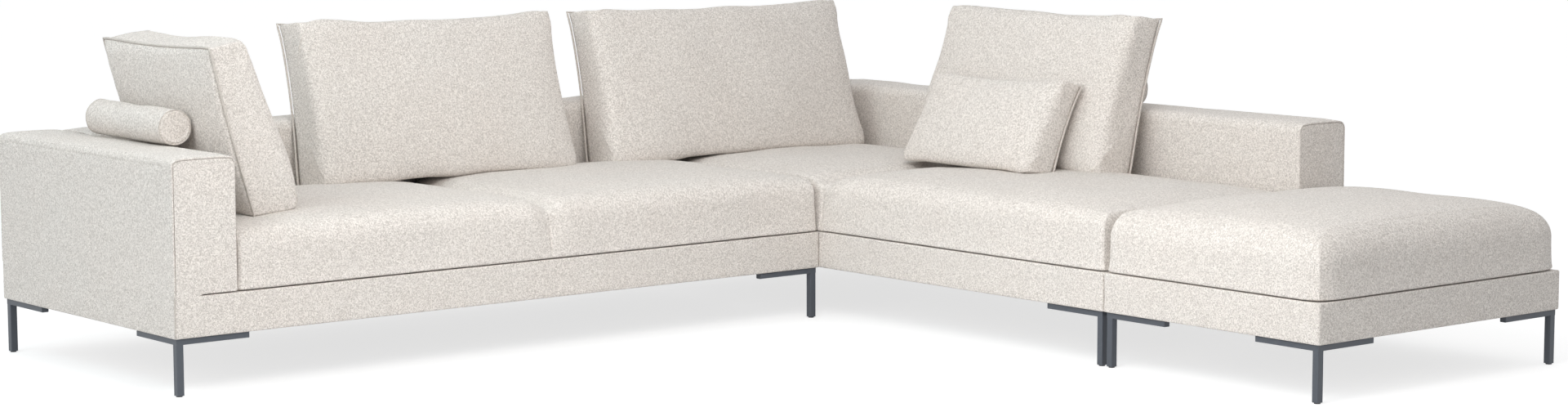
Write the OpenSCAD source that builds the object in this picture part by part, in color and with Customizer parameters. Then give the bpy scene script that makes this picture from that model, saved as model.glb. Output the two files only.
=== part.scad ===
// Corner sofa: a two-seat element with an arm, a corner element with an open end,
// a pouf, five loose cushions and two rolls. The origin is the floor under the
// middle of the whole group, +X runs along the long wing, +Y towards its backrest.

/* [Elements] */
// Depth of every element, from its front to the outside of its backrest
depth = 980; // [900:5:1060]
// Length of the two-seat element, over its arm
left_len = 2150; // [1900:10:2500]
// How far the corner element reaches forward of the two-seat element
wing_len = 1180; // [1000:10:1400]
// Length of the pouf along the wing
pouf_len = 760; // [600:10:900]
// Width of the arm
arm_w = 185; // [160:5:240]
// Thickness of the backrests
back_w = 195; // [170:5:240]
// Gap between neighbouring elements
unit_gap = 0.6; // [0.4:0.1:3]

/* [Heights] */
// Height of the underside of the base, which is the height of the legs
leg_h = 150; // [120:5:180]
// Height of the upholstered base
base_h = 107; // [90:1:130]
// Height of a seat's top above the floor at its edge, before the crown
seat_h = 420; // [390:5:460]
// Height of the arm and of the backrests at their edge, before the crown
back_h = 608; // [560:2:680]

/* [Base frame] */
// Thickness of the timber rails
rail_t = 30; // [24:1:36]
// Thickness of the padded cloth round the base
cover_t = 10; // [6:1:12]
// Thickness of plain cloth
cloth_t = 1.6; // [1:0.1:3]
// How far the base cloth is turned in under the rails
turn_in = 75; // [65:1:100]
// Distance from an element's edge to the dust cover
dust_in = 62; // [55:1:64]
// Width of an elastic strap
strap_w = 70; // [50:5:80]
// Thickness of an elastic strap
strap_t = 1.5; // [1:0.1:2]
// Least distance between the middles of two straps
strap_pitch = 118; // [100:2:160]
// Gap left for glue or cloth between two pieces that are fixed together
fit_gap = 0.2; // [0.1:0.05:0.3]
// Gap between a loose or soft piece and what it rests on
rest_gap = 0.3; // [0.2:0.05:0.5]
// Allowance where two soft forms touch, for the flat facets that they are built of
facet_play = 0.25; // [0.15:0.05:0.4]
// The same allowance where a back cushion leans on the rounded edge of a backrest
edge_play = 0.8; // [0.6:0.05:1.2]

/* [Arm and backrests] */
// Thickness of the padded cloth on the arm and the backrests
pad_t = 18; // [12:1:24]
// Thickness of the boards at the top, bottom and ends of a box frame
board_t = 18; // [15:1:22]
// Thickness of the plywood faces of a box frame
ply_t = 6; // [4:1:9]
// Longest free stretch between two posts of a box frame
post_pitch = 620; // [450:10:800]
// Rounding of the top edges
top_r = 20; // [12:1:30]
// Crown of the top
top_crown = 10; // [4:1:16]

/* [Seats] */
// Rounding of a seat's upper edges
seat_r = 46; // [30:1:60]
// Offset of the long wing's drawn-in line from the middle of its seat
valley_off = 12; // [-30:2:30]
// Crown of each pad
seat_crown = 20; // [8:1:30]
// Depth of the drawn-in line between two pads
valley_d = 20; // [8:1:30]
// Half the width of that line
valley_w = 60; // [40:5:90]
// Least cloth and fleece between a seat's foam and its outside
seat_wrap = 34; // [26:1:40]

/* [Legs] */
// Width of the square post and of the bars
post_w = 20; // [16:1:28]
// Length of each bar, from the outside of the post
bar_len = 212; // [150:2:240]
// Height of the bars
bar_h = 16; // [14:1:22]
// Distance from the element's edge to the leg
leg_in = 8; // [6:1:12]
// Rounding of the bars' and the post's edges
bar_r = 2; // [1:0.5:3]
// Thickness of the plastic glide under the post
glide_h = 3; // [2:0.5:6]
// Diameter of the glide
glide_d = 17; // [12:1:19]
// Diameter of the stem of the glide
stem_d = 6; // [4:0.5:8]
// Length of the stem of the glide
stem_len = 14; // [10:1:20]
// Diameter of the leg bolts
bolt_d = 8; // [6:1:8]
// Length of the leg bolts under the head
bolt_len = 55; // [40:5:70]
// Diameter of a bolt head
bolt_head_d = 13; // [10:0.5:14]
// Height of a bolt head
bolt_head_h = 8; // [5:0.5:9]
// Clearance round a bolt, on the diameter
bolt_clear = 0.6; // [0.4:0.1:1]

/* [Link plates] */
// Thickness of the steel of the link plates
link_t = 4; // [3:0.5:5]
// Width of a link plate
link_w = 70; // [50:5:90]
// Length of the flange that is screwed to the rail
link_flange = 41; // [36:1:50]
// Depth of a link plate below the base
link_drop = 20; // [16:1:24]
// Play between the hooked plates
link_play = 0.5; // [0.3:0.1:1]
// Distance of a link plate from the end of a leg bar
link_from_bar = 80; // [50:5:100]
// Diameter of the link plates' screws
screw_d = 5; // [4:0.5:6]
// Length of the link plates' screws
screw_len = 28; // [20:1:40]

/* [Back cushions] */
// Height of a back cushion from seam to seam
cushion_h = 470; // [400:5:520]
// Thickness of a back cushion in front of its seam
cushion_front = 150; // [110:2:180]
// Crown behind the seam of the right back cushion, which leans on a roll
cushion_back = 20; // [12:1:40]
// Crown behind the seam of a cushion that leans on the edge of a backrest
edge_cushion_back = 8; // [5:1:16]
// Taper of a cushion, the share by which it is thicker at its foot than at mid height
cushion_taper = 0.15; // [0:0.01:0.2]
// Spread of a cushion, the share by which it is wider at its foot than at mid height
cushion_spread = 0.012; // [0:0.002:0.04]
// How far a cushion's corners are rounded off
corner_in = 10; // [4:1:24]
// Share of a cushion's thickness that is its front's crown
crown_share = 0.14; // [0.05:0.01:0.25]
// How far a cushion's edges are drawn in between its corners
cushion_pull = 11; // [0:1:20]
// Width of the left back cushion
left_cushion_w = 900; // [700:5:930]
// Distance from the arm to the left back cushion
left_cushion_at = 630; // [610:2:660]
// Width of the middle back cushion
middle_cushion_w = 1020; // [800:5:1050]
// Distance between the left and the middle back cushion
middle_cushion_gap = 128; // [100:2:150]
// Width of the right back cushion
right_cushion_w = 830; // [700:5:900]
// Distance from the open end of the backrest to the right back cushion
right_cushion_at = 575; // [480:5:620]
// How far the right back cushion's foot stands out from its backrest
cushion_foot = 101; // [90:1:130]
// Lean of the left and the middle back cushion
cushion_lean = 13; // [8:0.5:18]
// Lean of the right back cushion
right_lean = 16; // [10:0.5:20]

/* [Arm cushion] */
// Width of the arm cushion, along the arm
arm_cushion_w = 590; // [450:5:620]
// Distance from the front of the element to the arm cushion
arm_cushion_at = 144; // [100:2:160]
// How far the arm cushion's foot stands out from the arm
arm_cushion_foot = 136; // [110:1:150]
// Thickness of the arm cushion in front of its seam
arm_cushion_front = 178; // [130:2:190]
// Crown of the arm cushion behind its seam
arm_cushion_back = 34; // [12:1:45]
// Lean of the arm cushion
arm_cushion_lean = 15; // [10:0.5:18]

/* [Small cushion] */
// Width of the small cushion
small_w = 570; // [480:5:640]
// Height of the small cushion from seam to seam
small_h = 276; // [240:2:330]
// Thickness of the small cushion in front of its seam
small_front = 112; // [80:2:130]
// Crown of the small cushion behind its seam
small_back = 18; // [10:1:30]
// Lean of the small cushion
small_lean = 25; // [18:0.5:32]
// Offset of the small cushion from the middle of the right back cushion
small_off = -22; // [-60:2:40]

/* [Rolls] */
// Diameter of a roll
roll_d = 102; // [80:2:120]
// How much shorter a roll is than its cushion
roll_short = 164; // [120:2:240]
// Offset of the arm roll from the middle of the arm cushion
arm_roll_off = 52; // [20:2:70]
// Offset of the back roll from the middle of the right back cushion
back_roll_off = 20; // [-30:2:40]
// Rounding of a roll's ends
roll_r = 14; // [8:1:20]
// Thickness of a roll's cloth and fleece
roll_wrap = 12; // [8:1:18]

/* [Hidden] */

fabric = "#d3ccc6";
fleece = "#efece4";
foam = "#e8dca8";
timber = "#c8a878";
plywood = "#d8bd8e";
steel = "#4d535c";
plastic = "#2c2e31";
webbing = "#3b3a38";
felt = "#57534f";

// Plan of the group: the two-seat element's front left corner is at 0, 0.
corner_x = left_len + unit_gap;
wing_y = -wing_len;
corner_len = depth + wing_len;
pouf_y = wing_y - unit_gap - pouf_len;
group_w = corner_x + depth;
group_mid = [group_w / 2, (depth + pouf_y) / 2];
seat_depth = depth - back_w;

// Heights
base_top = leg_h + base_h;
body_z = base_top + rest_gap;
rail_z = leg_h + cloth_t + fit_gap;
deck_z = base_top - cloth_t - fit_gap;
rail_h = deck_z - 2 * (strap_t + fit_gap) - rail_z;
strap_z = rail_z + rail_h + fit_gap;

module in_group() { translate([-group_mid.x, -group_mid.y, 0]) children(); }

module block(x, y, z) {
    translate([x[0], y[0], z[0]]) cube([x[1] - x[0], y[1] - y[0], z[1] - z[0]]);
}

// Stations across a form: close together where an edge is rounded or a valley runs.
edge_steps = 5;
function edge_depth(r, k) = r * (1 - cos(90 * k / edge_steps));
function between(a, b, n) = [for (k = [1:n - 1]) a + (b - a) * k / n];
valley_steps = [-1, -0.66, -0.33, 0, 0.33, 0.66, 1];
function stations(a, b, r, n, valley) = concat(
    [for (k = [0:edge_steps]) a + edge_depth(r, k)],
    is_undef(valley) ? between(a + r, b - r, n) : concat(
        between(a + r, valley - valley_w, n),
        [for (f = valley_steps) valley + f * valley_w],
        between(valley + valley_w, b - r, n)),
    [for (k = [edge_steps:-1:0]) b - edge_depth(r, k)]);
function edge_drop(d, r) = d >= r ? 0 : r - sqrt(max(r * r - (r - d) * (r - d), 0));
function side_distance(p, a, b) = min(p - a, b - p);
// Crown of a pad: nothing at its edges, full in its middle.
function pad_crown(p, a, b) = 1 - pow(abs(2 * (p - a) / (b - a) - 1), 4);
function valley_depth(p, valley) = let (u = min(abs(p - valley) / valley_w, 1))
    pow(1 - u * u, 2);

// A seat is told by its lowest corner, its size, and where its valley crosses it:
// across x, across y or nowhere.
left_seat = [[arm_w + rest_gap, 0], [left_len, seat_depth - rest_gap]];
corner_seat = [[corner_x, wing_y], [corner_x + seat_depth - rest_gap, seat_depth - rest_gap]];
pouf_seat = [[corner_x, pouf_y], [corner_x + depth, pouf_y + pouf_len]];
left_valley = (left_seat[0].x + left_seat[1].x) / 2 + valley_off;
corner_valley = 0;

function split_crown(p, a, b, valley) = is_undef(valley) ? pad_crown(p, a, b)
    : p < valley ? pad_crown(p, a, valley) : pad_crown(p, valley, b);
function seat_rise(x, y, s, vx, vy) =
    seat_crown * split_crown(x, s[0].x, s[1].x, vx) * split_crown(y, s[0].y, s[1].y, vy)
    - (is_undef(vx) ? 0 : valley_d * valley_depth(x, vx))
    - (is_undef(vy) ? 0 : valley_d * valley_depth(y, vy));

// In a corner, the square of stations is drawn in to a quarter circle.
function draw_in(x, y, s) = let (
    r = seat_r,
    dx = side_distance(x, s[0].x, s[1].x),
    dy = side_distance(y, s[0].y, s[1].y),
    vx = r - dx, vy = r - dy,
    f = (vx > 0 && vy > 0) ? max(vx, vy) / norm([vx, vy]) : 1,
    sx = x < (s[0].x + s[1].x) / 2 ? 1 : -1,
    sy = y < (s[0].y + s[1].y) / 2 ? 1 : -1)
    [x + (f < 1 ? sx * vx * (1 - f) : 0), y + (f < 1 ? sy * vy * (1 - f) : 0)];
function seat_drop(x, y, s) = edge_drop(
    min(side_distance(x, s[0].x, s[1].x), side_distance(y, s[0].y, s[1].y)), seat_r);

foot_r = 9;
function grid_ring(nx, ny) = concat(
    [for (i = [0:nx - 1]) [i, 0]], [for (j = [0:ny - 1]) [nx, j]],
    [for (i = [nx:-1:1]) [i, ny]], [for (j = [ny:-1:1]) [0, j]]);
function toward_middle(p, s, d) = let (
    hx = (s[1].x - s[0].x) / 2, hy = (s[1].y - s[0].y) / 2,
    mx = s[0].x + hx, my = s[0].y + hy)
    [mx + (p.x - mx) * (hx - d) / hx, my + (p.y - my) * (hy - d) / hy];
// The valley also draws in the walls that it runs down, less and less towards the foot.
function wall_pull(p, s, vx, vy) = let (
    v = max(is_undef(vx) ? 0 : valley_depth(p.x, vx), is_undef(vy) ? 0 : valley_depth(p.y, vy)))
    toward_middle(p, s, valley_d * 0.6 * v);

module seat_form(s, vx, vy, nx, ny) {
    xs = stations(s[0].x, s[1].x, seat_r, nx, vx);
    ys = stations(s[0].y, s[1].y, seat_r, ny, vy);
    mx = len(xs) - 1;
    my = len(ys) - 1;
    ring = grid_ring(mx, my);
    n = len(ring);
    plan = [for (q = ring) draw_in(xs[q[0]], ys[q[1]], s)];
    top = [for (i = [0:mx], j = [0:my])
        let (x = xs[i], y = ys[j], p = draw_in(x, y, s),
            e = (i == 0 || j == 0 || i == mx || j == my) ? wall_pull(p, s, vx, vy) : p)
        [e.x, e.y, seat_h - seat_drop(x, y, s) + seat_rise(x, y, s, vx, vy)]];
    mid_z = (seat_h - seat_r + body_z) / 2;
    mid = [for (p = plan) let (q = (wall_pull(p, s, vx, vy) + p) / 2) [q.x, q.y, mid_z]];
    low = [for (p = plan) [p.x, p.y, body_z + foot_r]];
    foot = [for (p = plan) let (q = toward_middle(p, s, foot_r)) [q.x, q.y, body_z]];
    centre = [[(s[0].x + s[1].x) / 2, (s[0].y + s[1].y) / 2, body_z]];
    nt = len(top);
    function g(i, j) = i * (my + 1) + j;
    function r(k, i) = k == 0 ? g(ring[i % n][0], ring[i % n][1]) : nt + (k - 1) * n + i % n;
    faces = concat(
        [for (i = [0:mx - 1], j = [0:my - 1]) each
            [[g(i, j), g(i, j + 1), g(i + 1, j + 1)], [g(i, j), g(i + 1, j + 1), g(i + 1, j)]]],
        [for (k = [0:2], i = [0:n - 1]) each
            [[r(k, i), r(k, i + 1), r(k + 1, i + 1)], [r(k, i), r(k + 1, i + 1), r(k + 1, i)]]],
        [for (i = [0:n - 1]) [r(3, i), r(3, i + 1), nt + 3 * n]]);
    polyhedron(concat(top, mid, low, foot, centre), faces);
}

// Foam blocks lie inside a seat, one to each pad.
foam_top = seat_h - seat_wrap;
module foam_block(a, b, grow) {
    block([a.x - grow, b.x + grow], [a.y - grow, b.y + grow],
        [body_z + cloth_t - grow, foam_top + grow]);
}
module left_foam(grow) {
    w = seat_wrap;
    foam_block(left_seat[0] + [w, w], [left_valley - w / 2, left_seat[1].y - w], grow);
    foam_block([left_valley + w / 2, left_seat[0].y + w], left_seat[1] - [w, w], grow);
}
module corner_foam(grow) {
    w = seat_wrap;
    foam_block(corner_seat[0] + [w, w], [corner_seat[1].x - w, corner_valley - w / 2], grow);
    foam_block([corner_seat[0].x + w, corner_valley + w / 2], corner_seat[1] - [w, w], grow);
}
module pouf_foam_block(grow) {
    w = seat_wrap;
    foam_block(pouf_seat[0] + [w, w], pouf_seat[1] - [w, w], grow);
}

// Loose cushion: a boxed front that is thicker at its foot, and a back sheet, which
// meet in one seam. Its own origin is the middle of the seam at the foot, y points to
// its back. The foot of the front is sloped by the cushion's lean, so it lies level.
pillow_nx = 16;
pillow_nz = 12;
front_power = 8;
back_power = 2.4;
function seam_step(k, n) = sin(180 * k / n - 90);
function swell(s, power) = pow(max(1 - pow(abs(s), power), 0), 1 / power);
function seam_outline(w, h, s, t) = let (c = corner_in * pow(s * t, 8))
    [s * (w / 2 * (1 - cushion_spread * t) - cushion_pull * (1 - t * t) - c),
     h / 2 + t * (h / 2 - cushion_pull * (1 - s * s) - c)];
function front_point(w, h, f, lean, i, j) = let (
    s = seam_step(i, pillow_nx), t = seam_step(j, pillow_nz), p = seam_outline(w, h, s, t),
    y = f * (1 - cushion_taper * t) * swell(s, front_power) * swell(t, front_power)
        * (1 - crown_share * (1 - (1 - s * s) * (1 - t * t))))
    [p[0], -y, p[1] - y * tan(lean) * pow((1 - t) / 2, 3)];
function back_point(w, h, b, i, j) = let (
    s = seam_step(i, pillow_nx), t = seam_step(j, pillow_nz), p = seam_outline(w, h, s, t))
    [p[0], b * swell(s, back_power) * swell(t, back_power), p[1]];

module pillow(w, h, f, b, lean) {
    nx = pillow_nx;
    nz = pillow_nz;
    front = [for (i = [0:nx], j = [0:nz]) front_point(w, h, f, lean, i, j)];
    back = [for (i = [1:nx - 1], j = [1:nz - 1]) back_point(w, h, b, i, j)];
    nf = len(front);
    function on_seam(i, j) = i == 0 || j == 0 || i == nx || j == nz;
    function g(i, j) = i * (nz + 1) + j;
    function q(i, j) = on_seam(i, j) ? g(i, j) : nf + (i - 1) * (nz - 1) + j - 1;
    // The diagonals run to the middle, so none of them joins two points of the seam.
    function halves(a, b, c, d, i, j) = (i < nx / 2) == (j < nz / 2)
        ? [[a, b, c], [a, c, d]] : [[a, b, d], [b, c, d]];
    faces = concat(
        [for (i = [0:nx - 1], j = [0:nz - 1]) each
            halves(g(i, j), g(i, j + 1), g(i + 1, j + 1), g(i + 1, j), i, j)],
        [for (i = [0:nx - 1], j = [0:nz - 1]) each
            halves(q(i, j), q(i + 1, j), q(i + 1, j + 1), q(i, j + 1), i, j)]);
    polyhedron(concat(front, back), faces);
}

// Filling of a loose cushion, well inside its cover
fill_side = 60;
fill_share = 0.5;
module pillow_fill(w, h, f, grow) {
    block([fill_side - w / 2 - grow, w / 2 - fill_side + grow],
        [-f * fill_share - grow, grow], [fill_side - grow, h - fill_side + grow]);
}

// A cushion stands with its seam's foot at a place, turned about z and leaned back.
function leaned(p, a) = [p.x, p.y * cos(a) + p.z * sin(a), p.z * cos(a) - p.y * sin(a)];
function turned(p, q) = [p.x * cos(q) - p.y * sin(q), p.x * sin(q) + p.y * cos(q), p.z];
module stand(at, turn, lean) { translate(at) rotate([0, 0, turn]) rotate([-lean, 0, 0]) children(); }

function table_rise(x, y, s, vx, vy) = let (
    xs = stations(s[0].x, s[1].x, seat_r, 5, vx), ys = stations(s[0].y, s[1].y, seat_r, 5, vy),
    a = lookup(x, [for (p = xs) [p, split_crown(p, s[0].x, s[1].x, vx)]]),
    b = lookup(y, [for (p = ys) [p, split_crown(p, s[0].y, s[1].y, vy)]]))
    seat_crown * a * b
    - (is_undef(vx) ? 0 : valley_d * valley_depth(x, vx))
    - (is_undef(vy) ? 0 : valley_d * valley_depth(y, vy));
function seat_top(x, y) = seat_h + (x < corner_x
    ? table_rise(x, y, left_seat, left_valley, undef)
    : table_rise(x, y, corner_seat, undef, corner_valley));
// Height at which a cushion's lowest points just clear the seats
function foot_z(at, turn, lean, w, h, f) = rest_gap + facet_play + max([
    for (i = [0:pillow_nx], j = [0:4])
    let (p = turned(leaned(front_point(w, h, f, lean, i, j), lean), turn))
    seat_top(at.x + p.x, at.y + p.y) - p.z]);

// Section through the middle of a leaned cushion's sheet, as points of depth and height
part_steps = 6;
function mid_section(points, lean) = let (p = [for (q = points) leaned(q, lean)])
    [for (k = [0:len(p) - 2], m = [0:part_steps - 1])
        let (q = p[k] + (p[k + 1] - p[k]) * m / part_steps) [q.y, q.z]];
function front_section(w, h, f, lean) =
    mid_section([for (j = [0:pillow_nz]) front_point(w, h, f, lean, pillow_nx / 2, j)], lean);
function back_section(w, h, b, lean) =
    mid_section([for (j = [0:pillow_nz]) back_point(w, h, b, pillow_nx / 2, j)], lean);

// Top of the arm and the backrests: rounded edges and a crown
top_steps = 6;
function top_profile(w) = let (xs = stations(0, w, top_r, top_steps, undef)) concat(
    [for (x = xs) [x, back_h - edge_drop(side_distance(x, 0, w), top_r)
        + top_crown * pad_crown(x, 0, w) - body_z]],
    [[w, 0], [0, 0]]);
module padded_block(w, l) {
    translate([0, l, body_z]) rotate([90, 0, 0]) linear_extrude(l) polygon(top_profile(w));
}
// Height of a roll's axis at distance d from the edge of a backrest of thickness w
function roll_axis_z(d, w) = rest_gap + body_z + max([
    for (p = top_profile(w)) if (abs(p.x - d) < roll_d / 2)
    p.y + sqrt(roll_d * roll_d / 4 - (p.x - d) * (p.x - d))]);
// Distance of a roll's axis behind a cushion's foot, at height z above that foot
function roll_behind(w, h, b, lean, z) = rest_gap + max([
    for (p = back_section(w, h, b, lean)) if (abs(p[1] - z) < roll_d / 2)
    p[0] + sqrt(roll_d * roll_d / 4 - (p[1] - z) * (p[1] - z))]);

module roll_shape(l, d, r) {
    translate([-l / 2, 0, 0]) rotate([0, 90, 0]) rotate_extrude($fn = 96) union() {
        square([d / 2 - r, l]);
        translate([0, r]) square([d / 2, l - 2 * r]);
        translate([d / 2 - r, r]) circle(r, $fn = 48);
        translate([d / 2 - r, l - r]) circle(r, $fn = 48);
    }
}
module roll_cover(l) {
    difference() {
        roll_shape(l, roll_d, roll_r);
        roll_core(l, fit_gap);
    }
}
module roll_core(l, grow) {
    c = l - 2 * roll_wrap + 2 * grow;
    translate([-c / 2, 0, 0]) rotate([0, 90, 0])
        cylinder(h = c, d = roll_d - 2 * roll_wrap + 2 * grow, $fn = 96);
}

// Box frame of boards and plywood inside the arm and the backrests
module box_frame(x, y, z) {
    along_x = x[1] - x[0] > y[1] - y[0];
    a = along_x ? x : y;
    b = along_x ? y : x;
    g = fit_gap;
    inner = [b[0] + ply_t + g, b[1] - ply_t - g];
    spans = max(1, ceil((a[1] - a[0] - board_t) / post_pitch));
    step = (a[1] - a[0] - board_t) / spans;
    posts = [for (k = [0:spans]) a[0] + k * step];
    module part(u, v, w) {
        if (along_x) block(u, v, w);
        else block(v, u, w);
    }
    part(a, [b[0], b[0] + ply_t], z);
    part(a, [b[1] - ply_t, b[1]], z);
    part(a, inner, [z[0], z[0] + board_t]);
    part(a, inner, [z[1] - board_t, z[1]]);
    for (p = posts) part([p, p + board_t], inner, [z[0] + board_t + g, z[1] - board_t - g]);
}
frame_z = [body_z, back_h - pad_t];
function within(r, d) = [r[0] + d, r[1] - d];
module frame_room(x, y) {
    block(within(x, pad_t - fit_gap), within(y, pad_t - fit_gap),
        [body_z - 1, frame_z[1] + fit_gap]);
}

left_back_x = [arm_w + rest_gap, left_len];
rear_y = [seat_depth, depth];
corner_rear_x = [corner_x, corner_x + depth];
corner_side_x = [corner_x + seat_depth, corner_x + depth];
// The side frame ends at the rear frame, which runs into the corner.
side_frame_y = [wing_y, seat_depth + 2 * pad_t - fit_gap];

// Base of an element: rails, straps, cloth. x and y are the element's outer sides,
// bx and by the further rails that stand under a backrest, an arm or a valley.
module rail_block(x, y) { block(x, y, [rail_z, rail_z + rail_h]); }
function rail_at(p) = [p, p + rail_t];
bolt_near = 62;
bolt_far_in = 22;
leg_mid = leg_in + post_w / 2;
module leg_bolt_places() {
    for (d = [leg_in + bolt_near, leg_in + bar_len - bolt_far_in]) {
        translate([d, leg_mid, 0]) children();
        translate([leg_mid, d, 0]) children();
    }
}
module bolts_of(x, y) {
    for (sx = [0, 1], sy = [0, 1])
        translate([x[sx], y[sy], 0]) mirror([sx, 0, 0]) mirror([0, sy, 0])
            leg_bolt_places() leg_bolt();
}
bolt_seat_z = leg_h - bar_h + bolt_head_h + 1;
module leg_bolt() {
    translate([0, 0, bolt_seat_z - bolt_head_h]) difference() {
        cylinder(h = bolt_head_h, d = bolt_head_d, $fn = 48);
        translate([0, 0, -1]) cylinder(h = bolt_head_h * 0.6, d = bolt_d * 0.75, $fn = 6);
    }
    translate([0, 0, bolt_seat_z]) cylinder(h = bolt_len, d = bolt_d, $fn = 48);
}
module bolt_holes(x, y) {
    for (sx = [0, 1], sy = [0, 1])
        translate([x[sx], y[sy], 0]) mirror([sx, 0, 0]) mirror([0, sy, 0])
            leg_bolt_places() leg_bolt_hole();
}
module leg_bolt_hole() {
    translate([0, 0, leg_h - bar_h - 1])
        cylinder(h = bar_h + bolt_len, d = bolt_d + bolt_clear, $fn = 48);
}

// Rails that run the element's length, and rails across between them
module long_rails_x(x, rows) {
    for (y = rows) rail_block(within(x, cover_t + fit_gap), rail_at(y));
}
module long_rails_y(y, rows) {
    for (x = rows) rail_block(rail_at(x), within(y, cover_t + fit_gap));
}
function spaces(rows) = [for (k = [0:len(rows) - 2])
    [rows[k] + rail_t + fit_gap, rows[k + 1] - fit_gap]];
module base_cloth(x, y) {
    t = cover_t;
    difference() {
        block(x, y, [leg_h, base_top]);
        block(within(x, t), within(y, t), [leg_h + cloth_t, base_top - cloth_t]);
        block(within(x, turn_in), within(y, turn_in), [leg_h - 1, leg_h + cloth_t + 1]);
        bolt_holes(x, y);
        children();
    }
}
module dust_sheet(x, y) {
    block(within(x, dust_in), within(y, dust_in), [leg_h - fit_gap - cloth_t, leg_h - fit_gap]);
}
function strap_rows(a, b) = let (
    n = floor((b - a - strap_w) / strap_pitch) + 1, s = (b - a - strap_w) / max(n, 1))
    [for (k = [0:n]) a + k * s];
strap_edge = 14;
// Straps across x and y over the deck from x[0], y[0] to x[1], y[1]
module straps(x, y) {
    for (p = strap_rows(x[0] + rail_t, x[1] - rail_t))
        block([p, p + strap_w], within(y, strap_edge), [strap_z, strap_z + strap_t]);
    for (p = strap_rows(y[0] + rail_t, y[1] - rail_t))
        block(within(x, strap_edge), [p, p + strap_w],
            [strap_z + strap_t + fit_gap, strap_z + 2 * strap_t + fit_gap]);
}

left_x = [0, left_len];
left_y = [0, depth];
corner_xr = [corner_x, corner_x + depth];
corner_yr = [wing_y, depth];
pouf_yr = [pouf_y, pouf_y + pouf_len];

left_rows_y = [cover_t + fit_gap, seat_depth, depth - cover_t - fit_gap - rail_t];
left_rows_x = [cover_t + fit_gap, arm_w - rail_t, left_valley - rail_t / 2,
    left_len - cover_t - fit_gap - rail_t];
corner_rows_x = [corner_x + cover_t + fit_gap, corner_x + seat_depth,
    corner_x + depth - cover_t - fit_gap - rail_t];
corner_rows_y = [wing_y + cover_t + fit_gap, corner_valley - rail_t / 2, seat_depth,
    depth - cover_t - fit_gap - rail_t];
pouf_rows_x = [corner_x + cover_t + fit_gap, corner_x + depth - cover_t - fit_gap - rail_t];
pouf_rows_y = [pouf_y + cover_t + fit_gap, pouf_y + pouf_len - cover_t - fit_gap - rail_t];

// Leg: a square post with two bars along the element's edges, from the corner at 0, 0
function rounded_square(w, h, r) = [for (c = [[w - r, h - r, 0], [r, h - r, 90], [r, r, 180],
    [w - r, r, 270]]) for (a = [0:30:90])
    [c[0] + r * cos(c[2] + a), c[1] + r * sin(c[2] + a)]];
module leg_bar() {
    translate([bar_len, 0, -bar_h]) rotate([90, 0, -90])
        linear_extrude(bar_len) polygon(rounded_square(post_w, bar_h, bar_r));
}
module leg() {
    difference() {
        translate([leg_in, leg_in, 0]) union() {
            translate([0, 0, glide_h]) linear_extrude(leg_h - glide_h)
                polygon(rounded_square(post_w, post_w, bar_r));
            translate([0, post_w, leg_h]) leg_bar();
            translate([0, 0, leg_h]) mirror([1, -1, 0]) translate([0, post_w, 0]) leg_bar();
        }
        leg_bolt_places() {
            leg_bolt_hole();
            translate([0, 0, leg_h - bar_h - 1])
                cylinder(h = bolt_head_h + 2 + fit_gap, d = bolt_head_d + bolt_clear, $fn = 48);
        }
        translate([leg_mid, leg_mid, 0])
            cylinder(h = glide_h + stem_len + 1, d = stem_d + fit_gap, $fn = 48);
    }
}
module glide() {
    translate([leg_mid, leg_mid, 0]) {
        cylinder(h = glide_h - fit_gap, d = glide_d, $fn = 48);
        cylinder(h = glide_h + stem_len, d = stem_d, $fn = 48);
    }
}
module at_corners(x, y) {
    for (sx = [0, 1], sy = [0, 1])
        translate([x[sx], y[sy], 0]) mirror([sx, 0, 0]) mirror([0, sy, 0]) children();
}

// Link plates: an upturned lip on the two-seat element holds a tongue on the corner
// element, which lifts out upwards.
link_top = leg_h - fit_gap;
tongue_x = 6;
link_rows = [leg_in + bar_len + link_from_bar, depth - leg_in - bar_len - link_from_bar];
module link_profile(y, points) {
    translate([left_len, y + link_w / 2, 0]) rotate([90, 0, 0]) linear_extrude(link_w)
        polygon(points);
}
lip_x = unit_gap + tongue_x + link_t + link_play;
link_low = link_top - link_drop;
plate_points = [
    [-link_flange - link_t, link_top], [-link_t, link_top], [-link_t, link_low + link_t],
    [lip_x, link_low + link_t], [lip_x, link_top - link_t - 2],
    [lip_x + link_t, link_top - link_t - 2], [lip_x + link_t, link_low],
    [-2 * link_t, link_low], [-2 * link_t, link_top - link_t],
    [-link_flange - link_t, link_top - link_t]];
hook_points = [
    [unit_gap + tongue_x, link_low + link_t + 3], [unit_gap + tongue_x + link_t, link_low + link_t + 3],
    [unit_gap + tongue_x + link_t, link_top - link_t],
    [unit_gap + tongue_x + link_flange, link_top - link_t],
    [unit_gap + tongue_x + link_flange, link_top], [unit_gap + tongue_x, link_top]];
link_screw_x = cover_t + rail_t / 2;
screw_step = link_w / 4;
module link_screw_places(side) {
    for (y = link_rows, s = [-1, 1])
        translate([side < 0 ? left_len - link_screw_x : corner_x + link_screw_x,
            y + s * screw_step, link_top - link_t]) children();
}
module link_screw() {
    translate([0, 0, -screw_d * 0.55]) cylinder(h = screw_d * 0.55, d = screw_d * 1.9, $fn = 48);
    cylinder(h = screw_len, d = screw_d, $fn = 48);
}
module link_screw_hole() {
    translate([0, 0, -1]) cylinder(h = screw_len + 2, d = screw_d + bolt_clear, $fn = 48);
}

// Places of the loose pieces
left_cushion_mid = arm_w + left_cushion_at + left_cushion_w / 2;
middle_cushion_mid = arm_w + left_cushion_at + left_cushion_w + middle_cushion_gap
    + middle_cushion_w / 2;
right_cushion_mid = wing_y + right_cushion_at + right_cushion_w / 2;
arm_cushion_mid = arm_cushion_at + arm_cushion_w / 2;
side_foot_x = corner_x + seat_depth - cushion_foot;
arm_foot_x = arm_w + arm_cushion_foot;
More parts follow.
